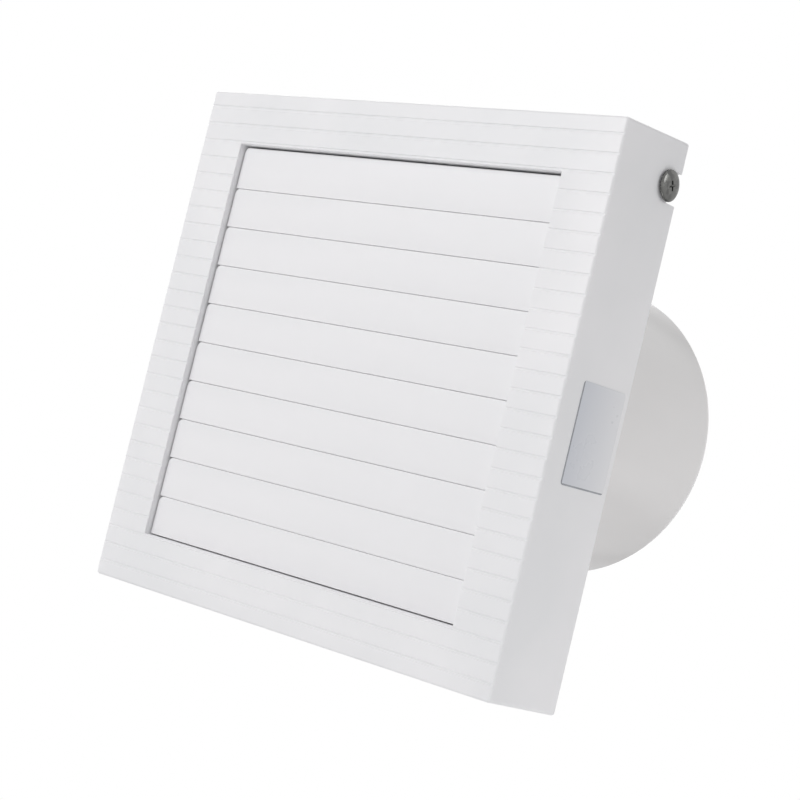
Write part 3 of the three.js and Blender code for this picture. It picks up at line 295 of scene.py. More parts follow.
def between(tree, factor, low, high):
    """A pattern's 0 to 1 as a range of numbers."""
    return add(tree, "MapRange", {"Value": factor, "To Min": low, "To Max": high}).outputs["Result"]


def surface(tree, inputs):
    """Ends a material with one physically based shader."""
    shader = add(tree, "BsdfPrincipled", inputs)
    add(tree, "OutputMaterial", {"Surface": shader.outputs["BSDF"]})


# %% [markdown]
# ## Moulded plastics
#
# The cover, louvres and duct are moulded ABS. ABS reflects like most plastics, with an IOR of 1.54.
# The steel mould leaves a fine grain, here 0.35 mm so that it shows at all, and the plastic's flow
# leaves wide, very faint clouds in its colour and gloss. The louvres flow along their length, so
# their clouds are stretched. A little light also travels about 0.6 mm under the surface, which keeps
# the fine seams grey instead of black. The duct is glossier and a little darker.

# %% Plastics
CLOUD_MM = 45
SHEEN_MM = 9
GRAIN_MM = 0.35
RELIEF_MM = 0.006
LIGHT_DEPTH_MM = 0.6


def moulded_abs(name, tones, gloss, stretch=(1, 1, 1)):
    """Moulded ABS: two close tones, a range of roughness, and the direction of its flow."""
    material, tree, place = blank_material(name)
    flow = add(tree, "Mapping", {"Vector": place, "Scale": stretch}).outputs["Vector"]
    clouds = add(tree, "TexNoise", {"Vector": flow, "Scale": per(CLOUD_MM), "Detail": 3.0}).outputs["Fac"]
    sheen = add(tree, "TexNoise", {"Vector": flow, "Scale": per(SHEEN_MM), "Detail": 4.0}).outputs["Fac"]
    grain = add(tree, "TexNoise", {"Vector": place, "Scale": per(GRAIN_MM), "Detail": 2.0}).outputs["Fac"]
    relief = add(tree, "Bump", {"Height": grain, "Distance": RELIEF_MM * MM, "Strength": 0.5})
    surface(tree, {
        "Base Color": two_tones(tree, clouds, *tones),
        "Roughness": between(tree, sheen, *gloss),
        "IOR": 1.54,
        "Subsurface Weight": 0.25,
        "Subsurface Radius": (1.0, 1.0, 1.0),
        "Subsurface Scale": LIGHT_DEPTH_MM * MM,
        "Normal": relief.outputs["Normal"],
    })
    return material


cover_abs = moulded_abs("moulded_white_abs_cover", ("#ECECEE", "#F2F1F3"), (0.34, 0.44))
louvre_abs = moulded_abs("moulded_white_abs_louvre", ("#EDEDEF", "#F3F2F4"), (0.32, 0.42), (0.2, 1, 1.6))
duct_abs = moulded_abs("moulded_white_abs_duct", ("#E7E5E5", "#EDEBEB"), (0.2, 0.3), (1, 0.3, 1))
impeller_abs = moulded_abs("moulded_grey_abs_impeller", ("#C9CCCE", "#D2D5D6"), (0.4, 0.5))
acetal = moulded_abs("natural_acetal", ("#DCD8CC", "#E4E0D6"), (0.4, 0.52))
nylon = moulded_abs("natural_nylon", ("#CFC8B4", "#D8D2C0"), (0.45, 0.58))
print("plastics:", [m.name for m in (cover_abs, louvre_abs, duct_abs, impeller_abs, acetal, nylon)])

# %% [markdown]
# ## Foam, rubber and film
#
# The wall gasket is closed-cell foam: a skin of cells about 0.6 mm across, which a Voronoi pattern
# gives. The grommet is dull moulded rubber with a little bloom. The blank label on the side is a
# polyester film, paler towards the wall. A thin grey line along its front and foot is painted shade
# at the film's edges. Both are drawn by the label's own coordinates.

# %% Soft materials and the label film
LABEL_Y = (-21.8, -1.8)
LABEL_Z = (-22.9, 5.6)
# How wide the painted shade along the label's front and lower edges is.
LABEL_EDGE_SHADE_WIDTH = 0.45


def closed_cell_foam():
    material, tree, place = blank_material("closed_cell_foam")
    cells = add(tree, "TexVoronoi", {"Vector": place, "Scale": per(0.6)}).outputs["Distance"]
    clouds = add(tree, "TexNoise", {"Vector": place, "Scale": per(12), "Detail": 3.0}).outputs["Fac"]
    relief = add(tree, "Bump", {"Height": cells, "Distance": 0.1 * MM, "Strength": 0.8})
    surface(tree, {
        "Base Color": two_tones(tree, clouds, "#2F3234", "#3C4043"),
        "Roughness": between(tree, cells, 0.85, 0.97),
        "IOR": 1.45,
        "Normal": relief.outputs["Normal"],
    })
    return material


def moulded_rubber():
    material, tree, place = blank_material("moulded_rubber")
    bloom = add(tree, "TexNoise", {"Vector": place, "Scale": per(4), "Detail": 5.0}).outputs["Fac"]
    grain = add(tree, "TexNoise", {"Vector": place, "Scale": per(0.3)}).outputs["Fac"]
    relief = add(tree, "Bump", {"Height": grain, "Distance": 0.02 * MM, "Strength": 0.6})
    surface(tree, {
        "Base Color": two_tones(tree, bloom, "#232527", "#35383A"),
        "Roughness": between(tree, bloom, 0.6, 0.8),
        "IOR": 1.52,
        "Normal": relief.outputs["Normal"],
    })
    return material


def polyester_film():
    material, tree, place = blank_material("polyester_film")
    wrinkle = add(tree, "TexNoise", {"Vector": place, "Scale": per(7), "Detail": 3.0}).outputs["Fac"]
    relief = add(tree, "Bump", {"Height": wrinkle, "Distance": 0.1 * MM, "Strength": 0.5})
    split = add(tree, "SeparateXYZ", {"Vector": place}).outputs
    # The grey line along the film's front and lower edges is painted shade, where those edges meet the wall.
    edge_shade_bands = []
    for axis, low in (("Y", LABEL_Y[0]), ("Z", LABEL_Z[0])):
        limit = (low + LABEL_EDGE_SHADE_WIDTH) * MM
        edge_shade_bands.append(add(tree, "Math", {0: split[axis], 1: limit}, operation="LESS_THAN").outputs["Value"])
    edge_shade_mask = add(tree, "Math", {0: edge_shade_bands[0], 1: edge_shade_bands[1]}, operation="MAXIMUM").outputs["Value"]
    across = add(tree, "MapRange", {
        "Value": split["Y"], "From Min": LABEL_Y[0] * MM, "From Max": LABEL_Y[1] * MM,
    }).outputs["Result"]
    tint = two_tones(tree, across, "#CBCED6", "#E6E6E9", 0.0, 1.0)
    painted_edge_shade = two_tones(tree, wrinkle, "#85888F", "#9A9DA4")
    tint_and_painted_edge_shade = add(tree, "Mix", {0: edge_shade_mask, 6: tint, 7: painted_edge_shade}, data_type="RGBA").outputs[2]
    surface(tree, {
        "Base Color": tint_and_painted_edge_shade,
        "Roughness": between(tree, wrinkle, 0.22, 0.36),
        "IOR": 1.6,
        "Coat Weight": 0.4,
        "Normal": relief.outputs["Normal"],
    })
    return material


foam, rubber, film = closed_cell_foam(), moulded_rubber(), polyester_film()
print("soft materials:", foam.name, rubber.name, film.name)

# %% [markdown]
# ## Metals
#
# Metals keep the default IOR; their colour and roughness tell them apart. Zinc plate has spangles,
# large pale crystals that differ in gloss. Stacked laminations, turned brass and enamelled wire are
# striped. A wave texture turns 20 radians in each unit of length, so a stripe given by the length of
# one radian comes round every 2 pi of it: about 3 mm for the laminations and 2 to 2.5 mm for brass
# and wire. That is coarser than real sheets and turns are.

# %% Metals
WAVE_RADIANS = 20


def plated_steel(name, tones, gloss, crystal_mm):
    """Zinc-plated steel: crystals that differ a little in tone and gloss, under fine scratches."""
    material, tree, place = blank_material(name)
    crystal = add(tree, "TexVoronoi", {"Vector": place, "Scale": per(crystal_mm)}).outputs["Color"]
    level = add(tree, "SeparateColor", {"Color": crystal}).outputs["Red"]
    scratch = add(tree, "TexNoise", {"Vector": place, "Scale": per(0.5), "Detail": 4.0}).outputs["Fac"]
    relief = add(tree, "Bump", {"Height": scratch, "Distance": 0.01 * MM, "Strength": 0.4})
    surface(tree, {
        "Base Color": two_tones(tree, level, *tones, 0.1, 0.9),
        "Metallic": 1.0,
        "Roughness": between(tree, level, *gloss),
        "Normal": relief.outputs["Normal"],
    })
    return material


def striped_metal(name, tones, gloss, radian_mm, axis, relief_mm):
    """Metal with stripes across an axis: stacked sheets, turns of wire, or the marks of a lathe."""
    material, tree, place = blank_material(name)
    stripes = add(tree, "TexWave", {
        "Vector": place, "Scale": per(radian_mm) / WAVE_RADIANS, "Distortion": 0.2, "Detail": 1.0,
    }, bands_direction=axis).outputs["Fac"]
    relief = add(tree, "Bump", {"Height": stripes, "Distance": relief_mm * MM, "Strength": 0.7})
    surface(tree, {
        "Base Color": two_tones(tree, stripes, *tones, 0.1, 0.9),
        "Metallic": 1.0,
        "Roughness": between(tree, stripes, *gloss),
        "Normal": relief.outputs["Normal"],
    })
    return material


def sintered_bronze():
    material, tree, place = blank_material("sintered_bronze")
    pores = add(tree, "TexVoronoi", {"Vector": place, "Scale": per(0.25)}).outputs["Distance"]
    relief = add(tree, "Bump", {"Height": pores, "Distance": 0.03 * MM, "Strength": 0.6})
    surface(tree, {
        "Base Color": two_tones(tree, pores, "#7A5B31", "#A8814A"),
        "Metallic": 1.0,
        "Roughness": between(tree, pores, 0.4, 0.6),
        "Normal": relief.outputs["Normal"],
    })
    return material


dark_zinc = plated_steel("dark_zinc_plated_steel", ("#5E5E5D", "#70706E"), (0.18, 0.28), 1.2)
zinc_steel = plated_steel("zinc_plated_steel", ("#9EA3A6", "#BCC0C2"), (0.28, 0.46), 3.5)
lamination = striped_metal("stacked_steel_laminations", ("#5E6266", "#8C9094"), (0.4, 0.6), 0.5, "Y", 0.08)
copper = striped_metal("enamelled_copper_wire", ("#8A4A22", "#C07840"), (0.2, 0.35), 0.4, "Y", 0.1)
brass = striped_metal("turned_brass", ("#B8923F", "#D0AC5A"), (0.25, 0.4), 0.35, "Z", 0.01)
bronze = sintered_bronze()
print("metals:", [m.name for m in (dark_zinc, zinc_steel, lamination, copper, brass, bronze)])

# %% [markdown]
# ## The cover
#
# The cover is one thin moulding: a shallow box, open behind, with a square window and a collar
# round it. All of that is a single row of rounded squares that runs from the rear edge round the
# front corner, in through the window, back along the collar and round again to the start. So its
# walls have a true thickness, its front edge a true radius, and it needs no boolean yet. Its walls
# lean outward on their way back, most at top and bottom, so that the moulding leaves its mould.

# %% The cover's shell
COVER_CORNER = 1
FRONT_EDGE = 0.8
CORNER_SHRINK = 0.9
WINDOW_EDGE = 0.25
SIDE_LEAN = 0.5
TOP_LEAN = 1.6


def lean_share(y):
    """The share of the walls' lean that is still to come: all of it in front, none at the wall."""
    return (cover_high.y - y) / (cover_high.y - FRONT_Y)


def cover_shell():
    def at(half, radius, y):
        return square_ring(half, radius, y, COVER_Z)

    def leaning(half, radius, y):
        ring = at(half, radius, y)
        for point in ring:
            point.x -= math.copysign(lean_share(y) * SIDE_LEAN, point.x)
            point.z -= math.copysign(lean_share(y) * TOP_LEAN, point.z - COVER_Z)
        return ring

    rings = [leaning(COVER_HALF, COVER_CORNER, cover_high.y)]
    for inset, depth in arc(FRONT_EDGE, FRONT_EDGE, FRONT_EDGE, 180, 270, 7):
        rings.append(leaning(COVER_HALF - inset, COVER_CORNER - inset * CORNER_SHRINK, FRONT_Y + depth))
    for offset, depth in arc(-WINDOW_EDGE, WINDOW_EDGE, WINDOW_EDGE, 270, 360, 3):
        rings.append(at(OPENING_HALF - offset, WINDOW_EDGE, FRONT_Y + depth))
    inside, skirt = FRONT_Y + COVER_WALL, COVER_HALF - COVER_WALL
    rings += [at(OPENING_HALF, WINDOW_EDGE, FLANGE_REAR), at(FLANGE_HALF, WINDOW_EDGE, FLANGE_REAR)]
    rings += [at(FLANGE_HALF, WINDOW_EDGE, inside), leaning(skirt, WINDOW_EDGE, inside)]
    rings.append(leaning(skirt, WINDOW_EDGE, cover_high.y))
    return skin(rings, closed=True)


shell = working(cover_shell())
print("cover shell faces:", len(shell.data.polygons))

# %% [markdown]
# ## Grooves, slots and notches
#
# Twenty-eight grooves cross the whole front at even steps. Each has a shallow chamfer at its mouth,
# because a moulded edge is never sharp and the chamfer is what catches the light. The slots in the
# collar let the louvres' axles in from behind, and the notches in the sides take the two screws.
# Six ribs stiffen the border behind.

# %% Cut the cover
GROOVES = 28
GROOVED_HEIGHT = 160
GROOVE_PITCH = GROOVED_HEIGHT / (GROOVES + 1)
GROOVE_HALF = 0.4
GROOVE_FLOOR = 0.2
GROOVE_DEPTH = 0.24
GROOVE_CHAMFER = 0.12
RIB_HALF = 0.8
RIB_DEPTH = 9
PIVOT_SLOT = 1.55
SCREW_Y = -5.5
SCREW_Z = COVER_Z + 67.3
NOTCH_HALF = 4.6
NOTCH_DEPTH = 4.5
SHANK_SLOT = 2.3
hinges = [joint for joint in frame["joints"] if joint["child"].startswith("louvre_")]
pivots = {joint["child"]: joint["pos_m"][2] / MM for joint in hinges}
PIVOT_Y = hinges[0]["pos_m"][1] / MM


def groove(z):
    """One groove's cutter, which flares at the mouth and narrows to the groove's floor."""
    side = [(FRONT_Y - PAST, GROOVE_HALF + GROOVE_CHAMFER), (FRONT_Y, GROOVE_HALF + GROOVE_CHAMFER * 0.4),
            (FRONT_Y + GROOVE_CHAMFER, GROOVE_HALF * 0.8), (FRONT_Y + GROOVE_DEPTH, GROOVE_FLOOR)]
    mirror = [(y, -half) for y, half in reversed(side)]
    profile = [(y, z + half) for y, half in side + mirror]
    reach = COVER_HALF + 2 * PAST
    return drawn("x", profile, -reach, reach)


def pivot_slot(z):
    """The cutter for a louvre's two slots, left and right, open to the rear."""
    reach, rear = FLANGE_HALF + PAST, FLANGE_REAR + PAST
    cap = arc(PIVOT_Y, z, PIVOT_SLOT, 90, 270, 10)
    return drawn("x", [*cap, (rear, z - PIVOT_SLOT), (rear, z + PIVOT_SLOT)], -reach, reach)


def screw_notch(side):
    """The cutter for one wall's notch: a wide mouth at the rear edge and a throat for the shank."""
    near, far = sorted((side * (COVER_HALF - COVER_WALL - PAST), side * (COVER_HALF + PAST)))
    low, high = SCREW_Z - NOTCH_HALF, SCREW_Z + NOTCH_HALF
    mouth = [(-NOTCH_DEPTH, low), (PAST, low), (PAST, high), (-NOTCH_DEPTH, high)]
    throat = arc(SCREW_Y, SCREW_Z, SHANK_SLOT, 90, 270, 12)
    upper, lower = (-NOTCH_DEPTH, SCREW_Z + SHANK_SLOT), (-NOTCH_DEPTH, SCREW_Z - SHANK_SLOT)
    return drawn("x", [*mouth, upper, *throat, lower], near, far)


def cover_ribs():
    """Three ribs above the window and three below it, from the collar to the cover's own walls."""
    near, far = FRONT_Y + COVER_WALL / 2, FRONT_Y + COVER_WALL + RIB_DEPTH
    inner, outer = FLANGE_HALF - 2 * GAP, COVER_HALF - TOP_LEAN - COVER_WALL / 2
    ribs = []
    for x in (-OPENING_HALF * 2 / 3, 0, OPENING_HALF * 2 / 3):
        for side in (-1, 1):
            low, high = sorted((side * inner, side * outer))
            ribs.append(block((x - RIB_HALF, near, COVER_Z + low), (x + RIB_HALF, far, COVER_Z + high)))
    return gather(ribs)


combine(shell, [cover_ribs()], "UNION")
grooves = [groove(COVER_Z + GROOVE_PITCH * (i - (GROOVES - 1) / 2)) for i in range(GROOVES)]
slots = [pivot_slot(z) for z in pivots.values()]
notches = [screw_notch(-1), screw_notch(1)]
combine(shell, [gather(grooves), gather(slots), gather(notches)], "DIFFERENCE")
finished(shell, "cover_moulding", cover_abs, "housing", ["front_cover"], crease=24)

# %% [markdown]
# ## The louvres
#
# Each louvre is a straight moulding, so one profile drawn out along X makes its blade: flat in
# front, with a round lip at the top and a tongue at the bottom that hangs behind the next lip. The
# tongue hides the dark inside, so the seam between two louvres shows as a fine grey line. Ears at
# the ends carry the axles, and the right one ends in a crank. All are drawn about their own pivot.
# The first is taller, to meet the window's top edge, and the last has no tongue.

# %% Louvre profile and ends
BLADE_HALF = OPENING_HALF - 0.4
BLADE_THICK = 1.5
LIP_TOP = 2.2
FIRST_LIP_RISE = 0.9
LIP_RADIUS = 0.4
BLADE_CORNER = 2
PITCH = pivots["louvre_01"] - pivots["louvre_02"]
SEAM = 0.08
BLADE_FRONT = FRONT_Y + 2.3 - PIVOT_Y
BLADE_BOTTOM = LIP_TOP - PITCH + SEAM
BLADE_EASE = 0.15
TONGUE = (BLADE_FRONT + BLADE_THICK + 0.4, BLADE_FRONT + BLADE_THICK + 1.4)
TONGUE_END = BLADE_BOTTOM - SEAM - 2
TONGUE_ROOT = 0.5
TONGUE_SLOPE = 2.4
TONGUE_SIDE_GAP = 0.4
TONGUE_CUT = 6
CORNER_CUT_END = 2
LAST_RISE = 0.28
STUB_RADIUS = 1.25
STUB_END = FLANGE_HALF + 1.2
EAR_RADIUS = 1.9
EAR_THICK = 2
EAR_ROOT = (BLADE_FRONT + BLADE_THICK / 2, -0.6)
EAR_ROOT_RADIUS = 0.7
HUB_BOSS = 2.4
CRANK_X = FLANGE_HALF + 0.5
CRANK_END = CRANK_X + 1.8
CRANK_PIN = (4, -3)
PIN_RADIUS = 1.2
PIN_END = CRANK_END + 3.2


def blade_profile(top, bottom, has_tongue):
    front, back, ease = BLADE_FRONT, BLADE_FRONT + BLADE_THICK, BLADE_EASE
    lip = arc(front + LIP_RADIUS, top - LIP_RADIUS, LIP_RADIUS, 90, 180, 8)
    toe = arc(front + ease, bottom + ease, ease, 180, 270, 3)
    tongue = [(back, bottom)]
    if has_tongue:
        tongue = [(TONGUE[0], bottom), (TONGUE[0], TONGUE_END + ease), (TONGUE[0] + ease, TONGUE_END),
                  (TONGUE[1], TONGUE_END), (TONGUE[1], bottom + TONGUE_ROOT), (back, bottom + TONGUE_SLOPE)]
    heel = arc(back - ease, top - ease, ease, 0, 90, 3)
    return [*lip, *toe, *tongue, *heel]


def link(first, first_radius, second, second_radius, steps=10):
    """The outline of two circles joined by their outer tangents."""
    heading = math.degrees(math.atan2(second[1] - first[1], second[0] - first[0]))
    apart = math.hypot(second[0] - first[0], second[1] - first[1])
    side = math.degrees(math.acos((first_radius - second_radius) / apart))
    near = arc(*first, first_radius, heading + side, heading + 360 - side, steps)
    return near + arc(*second, second_radius, heading - side, heading + side, steps)


def blade_corners(top):
    """The two upper corners of the blade, as what is cut away from them."""
    start, high, wide = top - BLADE_CORNER, top + PAST, BLADE_HALF + PAST
    cutters = []
    for side in (-1, 1):
        centre = side * (BLADE_HALF - BLADE_CORNER)
        bend = arc(centre, start, BLADE_CORNER, 90 - 90 * side, 90, 8)
        outline = [*bend, (centre, high), (side * wide, high), (side * wide, start)]
        cutters.append(drawn("y", outline, BLADE_FRONT - PAST, CORNER_CUT_END))
    return gather(cutters)


def tongue_corners():
    """What is cut from the tongue's ends, so that it clears the next louvre's ears."""
    inner = BLADE_HALF - EAR_THICK - TONGUE_SIDE_GAP
    ends = [(-BLADE_HALF - PAST, -inner), (inner, BLADE_HALF + PAST)]
    low, high = TONGUE_END - PAST, BLADE_BOTTOM
    return gather([block((start, -TONGUE_CUT, low), (end, TONGUE_CUT, high)) for start, end in ends])


# %% One louvre, copied to ten pivots


def louvre_mesh(top=LIP_TOP, bottom=BLADE_BOTTOM, has_tongue=True):
    blade = working(drawn("x", blade_profile(top, bottom, has_tongue), -BLADE_HALF, BLADE_HALF))
    combine(blade, [blade_corners(top), tongue_corners()], "DIFFERENCE")
    ears = [drawn("x", link(EAR_ROOT, EAR_ROOT_RADIUS, (0, 0), EAR_RADIUS), *span)
            for span in ((-BLADE_HALF, EAR_THICK - BLADE_HALF), (BLADE_HALF - EAR_THICK, BLADE_HALF))]
    left = rod("x", STUB_RADIUS, -STUB_END, GAP - BLADE_HALF)
    right = rod("x", STUB_RADIUS, BLADE_HALF - GAP, CRANK_END)
    arm = drawn("x", link((0, 0), HUB_BOSS, CRANK_PIN, EAR_RADIUS), CRANK_X, CRANK_END)
    pin = rod("x", PIN_RADIUS, CRANK_END - GAP, PIN_END, CRANK_PIN)
    return combine(blade, [gather(ears), gather([left, right]), arm, pin], "UNION")


first_louvre = louvre_mesh(top=LIP_TOP + FIRST_LIP_RISE)
middle_louvre = louvre_mesh()
last_louvre = louvre_mesh(bottom=BLADE_BOTTOM + LAST_RISE, has_tongue=False)
sources = [first_louvre, *[middle_louvre] * (len(pivots) - 2), last_louvre]
for source, (body, z) in zip(sources, sorted(pivots.items())):
    copy = bpy.data.objects.new("copy", source.data.copy())
    bpy.context.scene.collection.objects.link(copy)
    name = "blade_" + body.split("_")[1]
    finished(copy, name, louvre_abs, body, [body], (0, PIVOT_Y, z), crease=28)
for source in (first_louvre, middle_louvre, last_louvre):
    bpy.data.objects.remove(source)

# %% [markdown]
# ## The wall plate, bell mouth and duct
#
# The real base is one moulding. Its duct wall is turned: the profile goes down the bore, round the
# rim and back outside to the bell mouth that leads the air in. The plate, its lugs and posts, and
# the struts that hold the motor are joined to it, and the holes are cut last.

# %% Sizes of the base moulding
DUCT_RADIUS = 49
DUCT_BORE = 47
DUCT_LEAD = 3
LEAD_DROP = 1
EASE = 0.4
BELL = 7
BELL_WALL = 2
BELL_LIP = 1
PLATE_THICK = 3
PLATE_CORNER = 1.6
SUNK = 1.5
MOTOR_RADIUS = 25
MOTOR_PLATE_Y = 58
MOTOR_PLATE = 2.5
MOTOR_PLATE_BORE = 8
STRUTS = 4
STRUT_HALF = 1.3
STRUT_NOSE = 0.65
STRUT_DEPTH = 9
STRUT_START = 9
GASKET_IN = 56
GASKET_OUT = 61
GASKET_DEPTH = 1.2
LUG_WIDTH = 6
LUG_DEPTH = 7
LUG_HALF = 5.5
LUG_BORE = 2.3
TERMINAL_X = -62
CLAMP_Z = COVER_Z - 49.5
CLAMP_SPREAD = 8
POST_RADIUS = 3
POST_BORE = 1.6
POST_HEIGHT = 5
GROMMET_Z = COVER_Z - 36
GROMMET_BORE = 6.3
WALL_SLOTS = [(x, COVER_Z + z) for x in (-42, 42) for z in (-68, 68)]
WALL_SLOT_REACH = 3
WALL_SLOT_RADIUS = 2.3
MOTOR_SCREW_X = 18
MOTOR_SCREW_BORE = 1.7

# %% Base moulding


def duct_profile():
    """Down the bore from the bell mouth to the rim, and back outside."""
    inner = arc(DUCT_BORE + BELL, 0, BELL, 180, 268, 14)
    lip = arc(DUCT_BORE + BELL, -BELL + BELL_LIP, BELL_LIP, 268, 450, 8)
    outer = arc(DUCT_BORE + BELL, 0, BELL - BELL_WALL, 268, 180, 12)
    rim = arc(DUCT_BORE + EASE, DUCT_END - EASE, EASE, 90, 180, 4)
    lead = arc(DUCT_RADIUS - LEAD_DROP - EASE, DUCT_END - EASE, EASE, 20, 90, 4)
    return [*inner, *lip[1:-1], *outer, (DUCT_RADIUS, DUCT_END - DUCT_LEAD), *lead, *rim]


def motor_plate():
    """The round plate that the motor is screwed to."""
    near, far = MOTOR_PLATE_Y, MOTOR_PLATE_Y + MOTOR_PLATE
    edge = [(MOTOR_RADIUS - EASE, near), (MOTOR_RADIUS, near + EASE), (MOTOR_RADIUS, far - EASE)]
    edge.append((MOTOR_RADIUS - EASE, far))
    return turned([(MOTOR_PLATE_BORE, near), *edge, (MOTOR_PLATE_BORE, far)], ROUND_STEPS)


def motor_struts():
    """Struts from the motor's plate to the duct's wall, wide in front and round behind."""
    nose = arc(0, MOTOR_PLATE_Y + STRUT_DEPTH - STRUT_NOSE, STRUT_NOSE, 0, 180, 6)
    start = MOTOR_PLATE_Y + EASE / 2
    struts = []
    for i in range(STRUTS):
        strut = drawn("z", [(-STRUT_HALF, start), (STRUT_HALF, start), *nose], STRUT_START, DUCT_BORE + PAST)
        turn = Matrix.Rotation(2 * math.pi * (i + 0.5) / STRUTS, 4, "Y")
        bmesh.ops.transform(strut, matrix=turn, verts=strut.verts)
        struts.append(strut)
    return struts


def plate_mesh():
    ring = square_ring(PLATE_HALF, PLATE_CORNER, 0, COVER_Z)
    return drawn("y", [(p.x, p.z) for p in ring], -PLATE_THICK, 0)


def wall_slot(x, z):
    right_end = arc(x + WALL_SLOT_REACH, z, WALL_SLOT_RADIUS, -90, 90, 10)
    left_end = arc(x - WALL_SLOT_REACH, z, WALL_SLOT_RADIUS, 90, 270, 10)
    return drawn("y", right_end + left_end, -PLATE_THICK - PAST, PAST)


def lug_mesh(side):
    near, far = sorted((side * PLATE_HALF, side * (PLATE_HALF - LUG_WIDTH)))
    low, high = SCREW_Z - LUG_HALF, SCREW_Z + LUG_HALF
    return block((near, -PLATE_THICK - LUG_DEPTH, low), (far, -SUNK, high))


def lug_bore(side):
    near, far = side * (PLATE_HALF - LUG_WIDTH - 2 * PAST), side * (PLATE_HALF + PAST)
    return rod("x", LUG_BORE, near, far, (SCREW_Y, SCREW_Z))


def gasket_groove():
    near, far = GASKET_IN - GAP, GASKET_OUT + GAP
    return turned([(near, -SUNK), (far, -SUNK), (far, PAST), (near, PAST)], WIDE_STEPS)


def base_moulding():
    base = working(plate_mesh())
    combine(base, [rod("y", DUCT_BORE + PAST, -PLATE_THICK - PAST, PAST, steps=WIDE_STEPS)], "DIFFERENCE")
    post_places = [(TERMINAL_X + dx, CLAMP_Z) for dx in (-CLAMP_SPREAD, CLAMP_SPREAD)]
    post_top = -PLATE_THICK - POST_HEIGHT
    posts = gather([rod("y", POST_RADIUS, post_top, -SUNK, place) for place in post_places])
    duct = turned(duct_profile(), WIDE_STEPS)
    raised = [duct, motor_plate(), *motor_struts(), lug_mesh(-1), lug_mesh(1), posts]
    combine(base, raised, "UNION")
    holes = [wall_slot(x, z) for x, z in WALL_SLOTS]
    for x in (-MOTOR_SCREW_X, MOTOR_SCREW_X):
        holes.append(rod("y", MOTOR_SCREW_BORE, MOTOR_PLATE_Y - PAST, DUCT_END, (x, 0)))
    holes.append(rod("y", GROMMET_BORE, -PLATE_THICK - PAST, PAST, (TERMINAL_X, GROMMET_Z), 48))
    holes += [rod("y", POST_BORE, post_top - PAST, -SUNK, place) for place in post_places]
    holes += [lug_bore(-1), lug_bore(1)]
    return combine(base, [gather(holes), gasket_groove()], "DIFFERENCE")


finished(base_moulding(), "base_moulding", duct_abs, "housing", ["base_housing"], crease=32)

# %% [markdown]
# ## Gasket, screws and label
#
# A foam ring seals the plate to the wall. The two screws through the cover's sides are pan heads
# with a cross recess, in dark zinc plate. The label on the side wall is a blank strip of film with
# rounded corners.

# %% Gasket, side screws and label
GASKET_EASE = 0.3
HEAD_RADIUS = 4.5
HEAD_RISE = 1.3
HEAD_RIM = 0.39
HEAD_EASE = 0.2
HEAD_TURN = 20
SHANK_RADIUS = 2
SHANK_LENGTH = 8
RECESS_HALF = 0.35
RECESS_REACH = 1.6
RECESS_TAPER = 0.45
RECESS_FLOOR = 0.4
RECESS_MOUTH = 1.05
LABEL_THICK = 0.1
LABEL_CORNER = 1


def gasket_mesh():
    ease = GASKET_EASE
    section = [(GASKET_IN, -GASKET_DEPTH), (GASKET_OUT, -GASKET_DEPTH)]
    section += arc(GASKET_OUT - ease, -ease, ease, 0, 90, 4) + arc(GASKET_IN + ease, -ease, ease, 90, 180, 4)
    return turned(section, WIDE_STEPS)


def recess_arm(u, v):
    """One arm of the cross recess, which narrows towards its floor."""
    wide = [(-u, -v), (u, -v), (u, v), (-u, v)]
    narrow = [(a * RECESS_TAPER, b * RECESS_TAPER) for a, b in wide]
    levels = ((narrow, RECESS_FLOOR), (wide, RECESS_MOUTH))
    return skin([[Vector((a, HEAD_RISE * level, b)) for a, b in ring] for ring, level in levels])


def side_screw():
    turns = [math.radians(9 * i) for i in range(10)]
    dome = [(HEAD_RADIUS * math.cos(t), HEAD_RIM + (HEAD_RISE - HEAD_RIM) * math.sin(t)) for t in turns]
    foot = [(HEAD_RADIUS - HEAD_EASE, 0), (HEAD_RADIUS, HEAD_EASE)]
    head = working(turned([*foot, *dome], 64, closed=False))
    combine(head, [rod("y", SHANK_RADIUS, -SHANK_LENGTH, GAP)], "UNION")
    arms = [recess_arm(RECESS_HALF, RECESS_REACH), recess_arm(RECESS_REACH, RECESS_HALF)]
    combine(head, arms, "DIFFERENCE")
    head.data.transform(Matrix.Rotation(math.radians(HEAD_TURN), 4, "Y"))
    return head


def label_mesh():
    middle_y, middle_z = sum(LABEL_Y) / 2, sum(LABEL_Z) / 2
    across = (LABEL_Y[1] - LABEL_Y[0]) / 2 - LABEL_CORNER
    up = (LABEL_Z[1] - LABEL_Z[0]) / 2 - LABEL_CORNER
    outline = []
    for i, (u, v) in enumerate(((1, 1), (-1, 1), (-1, -1), (1, -1))):
        outline += arc(middle_y + u * across, middle_z + v * up, LABEL_CORNER, 90 * i, 90 * i + 90, 5)
    label = drawn("x", outline, COVER_HALF, COVER_HALF + LABEL_THICK)
    for vertex in label.verts:
        vertex.co.x -= SIDE_LEAN * lean_share(vertex.co.y)
    return label


finished(working(gasket_mesh()), "gasket_ring", foam, "housing", ["wall_gasket"])
for side, name in ((1, "right"), (-1, "left")):
    screw = side_screw()
    screw.data.transform(Matrix.Rotation(math.radians(-90 * side), 4, "Z"))
    seat = (side * (COVER_HALF + GAP), SCREW_Y, SCREW_Z)
    finished(screw, "side_screw_" + name, dark_zinc, "housing", ["cover_screw_" + name], seat)

finished(working(label_mesh()), "blank_label", film, "housing")

# %% [markdown]
# ## The impeller
#
# Each blade is twisted, steep at the hub and flat at the tip, because the tip moves faster. It is
# lofted from sections that lie on cylinders about the axis: a thin cambered section at each radius,
# turned to that radius's angle. Seven of them are joined to a cup with a rounded nose.

